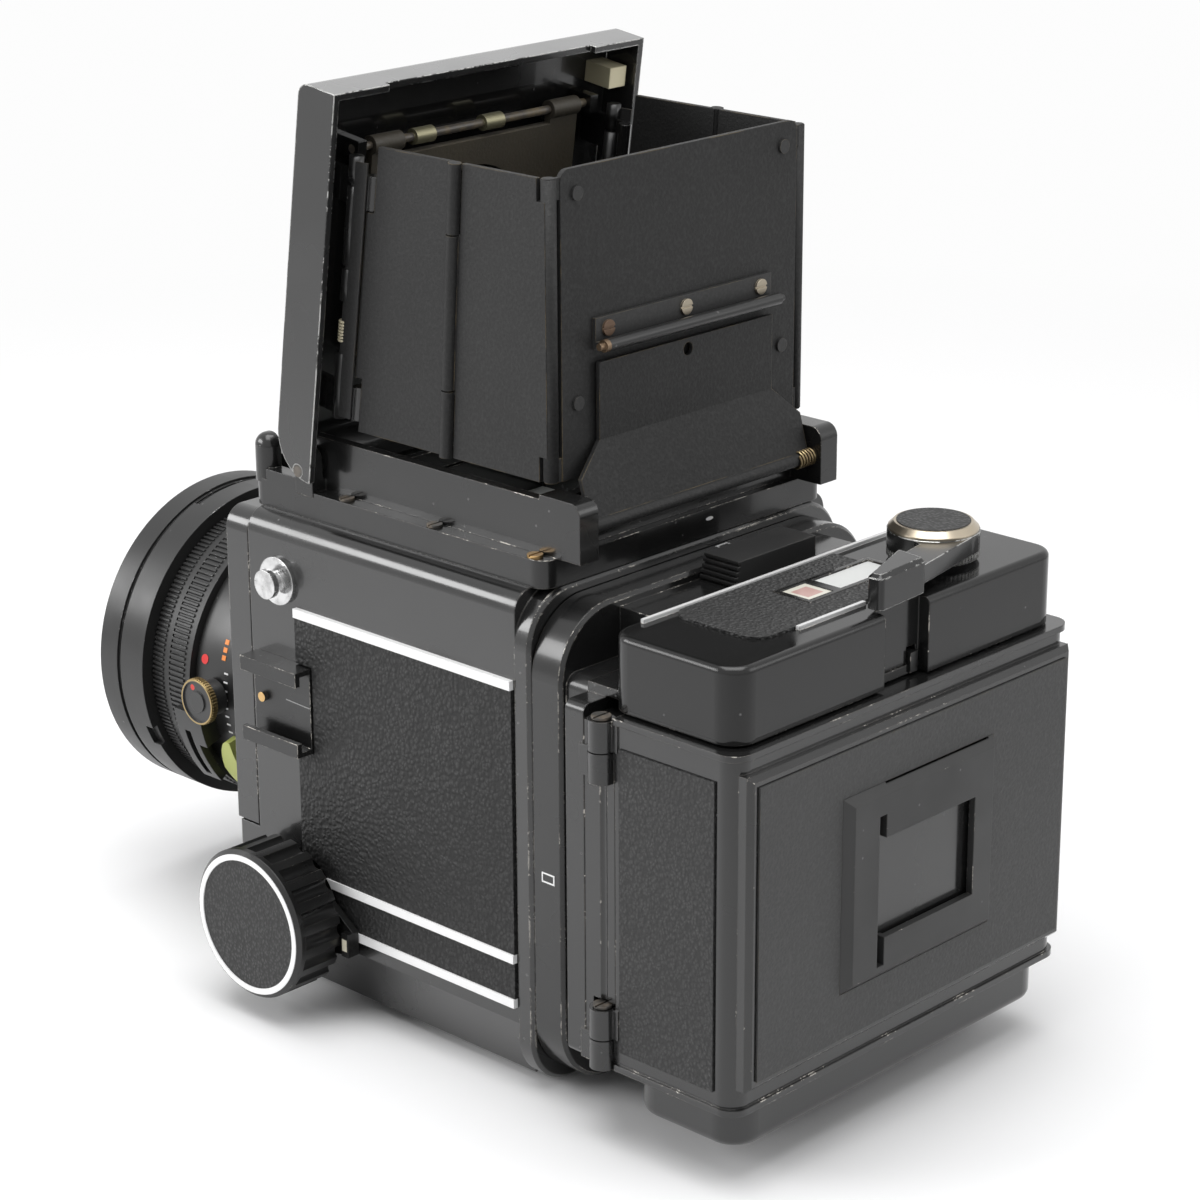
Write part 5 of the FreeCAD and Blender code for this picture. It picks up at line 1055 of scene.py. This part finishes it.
# %% Scale plate
PLATE_EDGE = ((-71.6, -15.6), (-72.9, -17.0), (-74.6, -21.0), (-76.0, -26.0), (-77.2, -31.0),
              (-77.2, -41.0))
PLATE_FRONT, PLATE_LOW, PLATE_HIGH, PLATE_SHIFT = -70.0, 35.9, 39.0, 0.8


def fine_edge(steps=4):
    fine = [(a[0] + (b[0] - a[0]) * i / steps, a[1] + (b[1] - a[1]) * i / steps)
            for a, b in zip(PLATE_EDGE, PLATE_EDGE[1:]) for i in range(steps)]
    return fine + [PLATE_EDGE[-1]]


def scale_plate():
    rings = []
    for y, angle in fine_edge():
        corners = ((y, PLATE_LOW), (PLATE_FRONT, PLATE_LOW), (PLATE_FRONT, PLATE_HIGH), (y, PLATE_HIGH))
        rings.append([barrel_spot(place, angle - PLATE_SHIFT, reach) for place, reach in corners])
    points, faces = sweep_rings(rings)
    last = 4 * (len(rings) - 1)
    faces += [(0, 1, 2, 3), (last, last + 1, last + 2, last + 3)]
    return make_piece("scale_plate", points, faces, lime, "front")


print("scale plate faces", len(scale_plate().data.polygons))

# %% [markdown]
# ## Rods, springs and flanges of the lid
# Down each side of the lid runs a hinge rod with rolled knuckles, a small cream spring and a thin folded
# flange. Curves with a round bevel would draw rods and coils too, but plain meshes export without any
# conversion, so a pipe and a coil are swept from rings. All of them lean with the lid and ride on it.

# %% Pipes and coils
def cross_axes(run):
    along = run.normalized()
    side = along.orthogonal().normalized()
    return along, side, along.cross(side)


def pipe(name, start, end, radius, material, body, count=16):
    start, end = Vector(start), Vector(end)
    _, side, other = cross_axes(end - start)
    points = [middle + (side * math.cos(a) + other * math.sin(a)) * radius for middle in (start, end)
              for a in (2 * math.pi * i / count for i in range(count))]
    faces = tube_faces(0, count) + [tuple(range(count)), tuple(range(count, 2 * count))]
    return make_piece(name, points, faces, material, body, True)


def coil(name, start, end, radius, wire, turns, material, body, steps=12, count=6):
    start, end = Vector(start), Vector(end)
    along, side, other = cross_axes(end - start)
    rings = []
    for i in range(turns * steps + 1):
        a = 2 * math.pi * i / steps
        outward = side * math.cos(a) + other * math.sin(a)
        middle = start + (end - start) * (i / (turns * steps)) + outward * radius
        rings.append([middle + (outward * math.cos(b) + along * math.sin(b)) * wire
                      for b in (2 * math.pi * k / count for k in range(count))])
    return make_piece(name, *sweep_rings(rings), material, body, True)


bright_pin = dress("old_brass",
                   [layer("handled_metal", Metal=(0.42, 0.33, 0.18, 1), Tarnish=(0.2, 0.15, 0.09, 1),
                          Polish=0.3)], radius=0.1, bump=0.05, Metallic=1.0)
cream_pin = flat_finish("cream_spring", (0.55, 0.5, 0.36, 1), 0.5)
black_pin = dress("black_rod", [layer("worn_enamel", Wear=1.0, Gloss=0.3)], radius=0.2, bump=0.1)
sheet_black = dress("flange_crackle", [layer("crackle_paint", Wear=0.4)], radius=0.2, bump=0.35)
print("finishes", len(FINISHES))

# %% Sides of the lid
EDGE_X, EDGE_Y, EDGE_Z = 41.4, -11.206, 174.0
ROD_FORWARD, FLANGE_FORWARD = 5.3, 0.4
ROD_RADIUS, KNUCKLE_RADIUS, FLANGE_THICK, FLANGE_OUT = 0.9, 1.7, 0.4, 0.9
KNUCKLES = (("low", 144.4, 160.0), ("middle", 172.5, 180.0), ("high", 181.0, 199.3), ("top", 200.0, 206.0))
SIDES = (("left", 1), ("right", -1))


def hinge_line(side, z, forward=ROD_FORWARD):
    return (side * EDGE_X, EDGE_Y + (z - EDGE_Z) * math.tan(LID_LEAN) - forward, z)


def lid_flange(label, side):
    corners = [hinge_line(side, 145.0), hinge_line(side, 205.0), hinge_line(side, 205.0, FLANGE_FORWARD),
               hinge_line(side, 145.0, FLANGE_FORWARD)]
    outline = [(x + side * FLANGE_OUT, y, z) for x, y, z in corners]
    make_piece(f"lid_flange_{label}", *slab(outline, (side, 0, 0), FLANGE_THICK), sheet_black, "lid")


for label, side in SIDES:
    pipe(f"lid_rod_{label}", hinge_line(side, 144.4), hinge_line(side, 206.0), ROD_RADIUS, black_pin, "lid")
    for part, low, high in KNUCKLES:
        pipe(f"lid_knuckle_{part}_{label}", hinge_line(side, low), hinge_line(side, high), KNUCKLE_RADIUS,
             black_pin, "lid")
    coil(f"lid_spring_{label}", hinge_line(side, 162.4), hinge_line(side, 167.6), 1.35, 0.33, 7, cream_pin,
         "lid")
    lid_flange(label, side)
print("knuckles on each side", len(KNUCKLES))

# %% [markdown]
# ## Rolled rear corners of the hood
# The rear edge of each side sheet is rolled round, which stiffens it and hides the gap to the rear panel.
# A bend in the sheet would be truer, but a thin pipe on the sheet's edge looks the same and folds with it.

# %% Corner rolls
ROLL_X, ROLL_Y, ROLL_LOW, ROLL_HIGH, ROLL_RADIUS = 40.2, 46.0, 142.6, 208.8, 1.7
for label, side in SIDES:
    pipe(f"corner_roll_{label}", (side * ROLL_X, ROLL_Y, ROLL_LOW), (side * ROLL_X, ROLL_Y, ROLL_HIGH),
         ROLL_RADIUS, FINISHES["crackle_sheet"], f"side_rear_{label}", 32)
print("rolls", ROLL_HIGH - ROLL_LOW, "mm high")

# %% [markdown]
# ## Springs of the link plate
# Two brass coils on the link's pins push the hood open. They could turn with the link plate, but a spring
# only twists a little on its pin, which can't be seen, so they stay with the body.

# %% Link springs
LINK_PIN_Y, LINK_PIN_Z, LINK_WIRE = 53.8, 132.8, 0.3
for label, start, end, radius, turns in (("left", 37.6, 40.8, 1.3, 5), ("right", -40.8, -32.0, 1.9, 9)):
    coil(f"link_spring_{label}", (start, LINK_PIN_Y, LINK_PIN_Z), (end, LINK_PIN_Y, LINK_PIN_Z), radius,
         LINK_WIRE, turns, bright_pin, "camera_body")
print("link springs", 2)

# %% [markdown]
# ## Small marks and tabs
# Last come a white dot behind the finder, a line scribed by the shoe, a cream mark beside the focus lock
# and the small tab in the housing's recess. Masks would do for the flat ones, but a thin slab stays crisp
# from close by, and the tab really stands up in the recess.

# %% Small marks and tabs
DOT_X, DOT_Y, DOT_Z, DOT_HALF_WIDTH, DOT_HALF_HEIGHT = -6.5, 50.15, 124.1, 1.2, 0.42
dot = [(DOT_X - DOT_HALF_WIDTH * math.cos(a), DOT_Y, DOT_Z + DOT_HALF_HEIGHT * math.sin(a))
       for a in (math.pi * i / 12 for i in range(24))]
line = [(53.4, -29.0, 76.3), (53.4, -20.7, 76.0), (53.4, -20.7, 76.25), (53.4, -29.0, 76.55)]
mark = [(56.96, -8.0, 19.6), (56.96, -6.4, 19.6), (56.96, -6.4, 22.6), (56.96, -8.0, 22.6)]
tab = [(-6.8, 107.9, 102.5), (-4.4, 107.9, 102.5), (-4.4, 110.6, 102.5), (-6.8, 110.6, 102.5)]
make_piece("rear_dot", *slab(dot, (0, 1, 0), 0.15), index_white, "camera_body")
make_piece("shoe_line", *slab(line, (1, 0, 0), 0.05), flat_finish("scribed_line", grey(0.3), 0.4),
           "camera_body")
make_piece("lock_mark", *slab(mark, (1, 0, 0), 0.1), flat_finish("lock_cream", (0.7, 0.66, 0.52, 1)),
           "focus_lock")
tab_metal = dress("tab_metal", [layer("worn_enamel", Wear=1.4, Gloss=0.3)], radius=0.3, bump=0.05)
make_piece("recess_tab", *slab(tab, (0, 0, 1), 4.6), tab_metal, "back")
print("small pieces", 4)

# %% [markdown]
# ## Finish
# Last, the number of finishes is printed.

# %% Count the finishes
print("finishes in all", len(FINISHES))
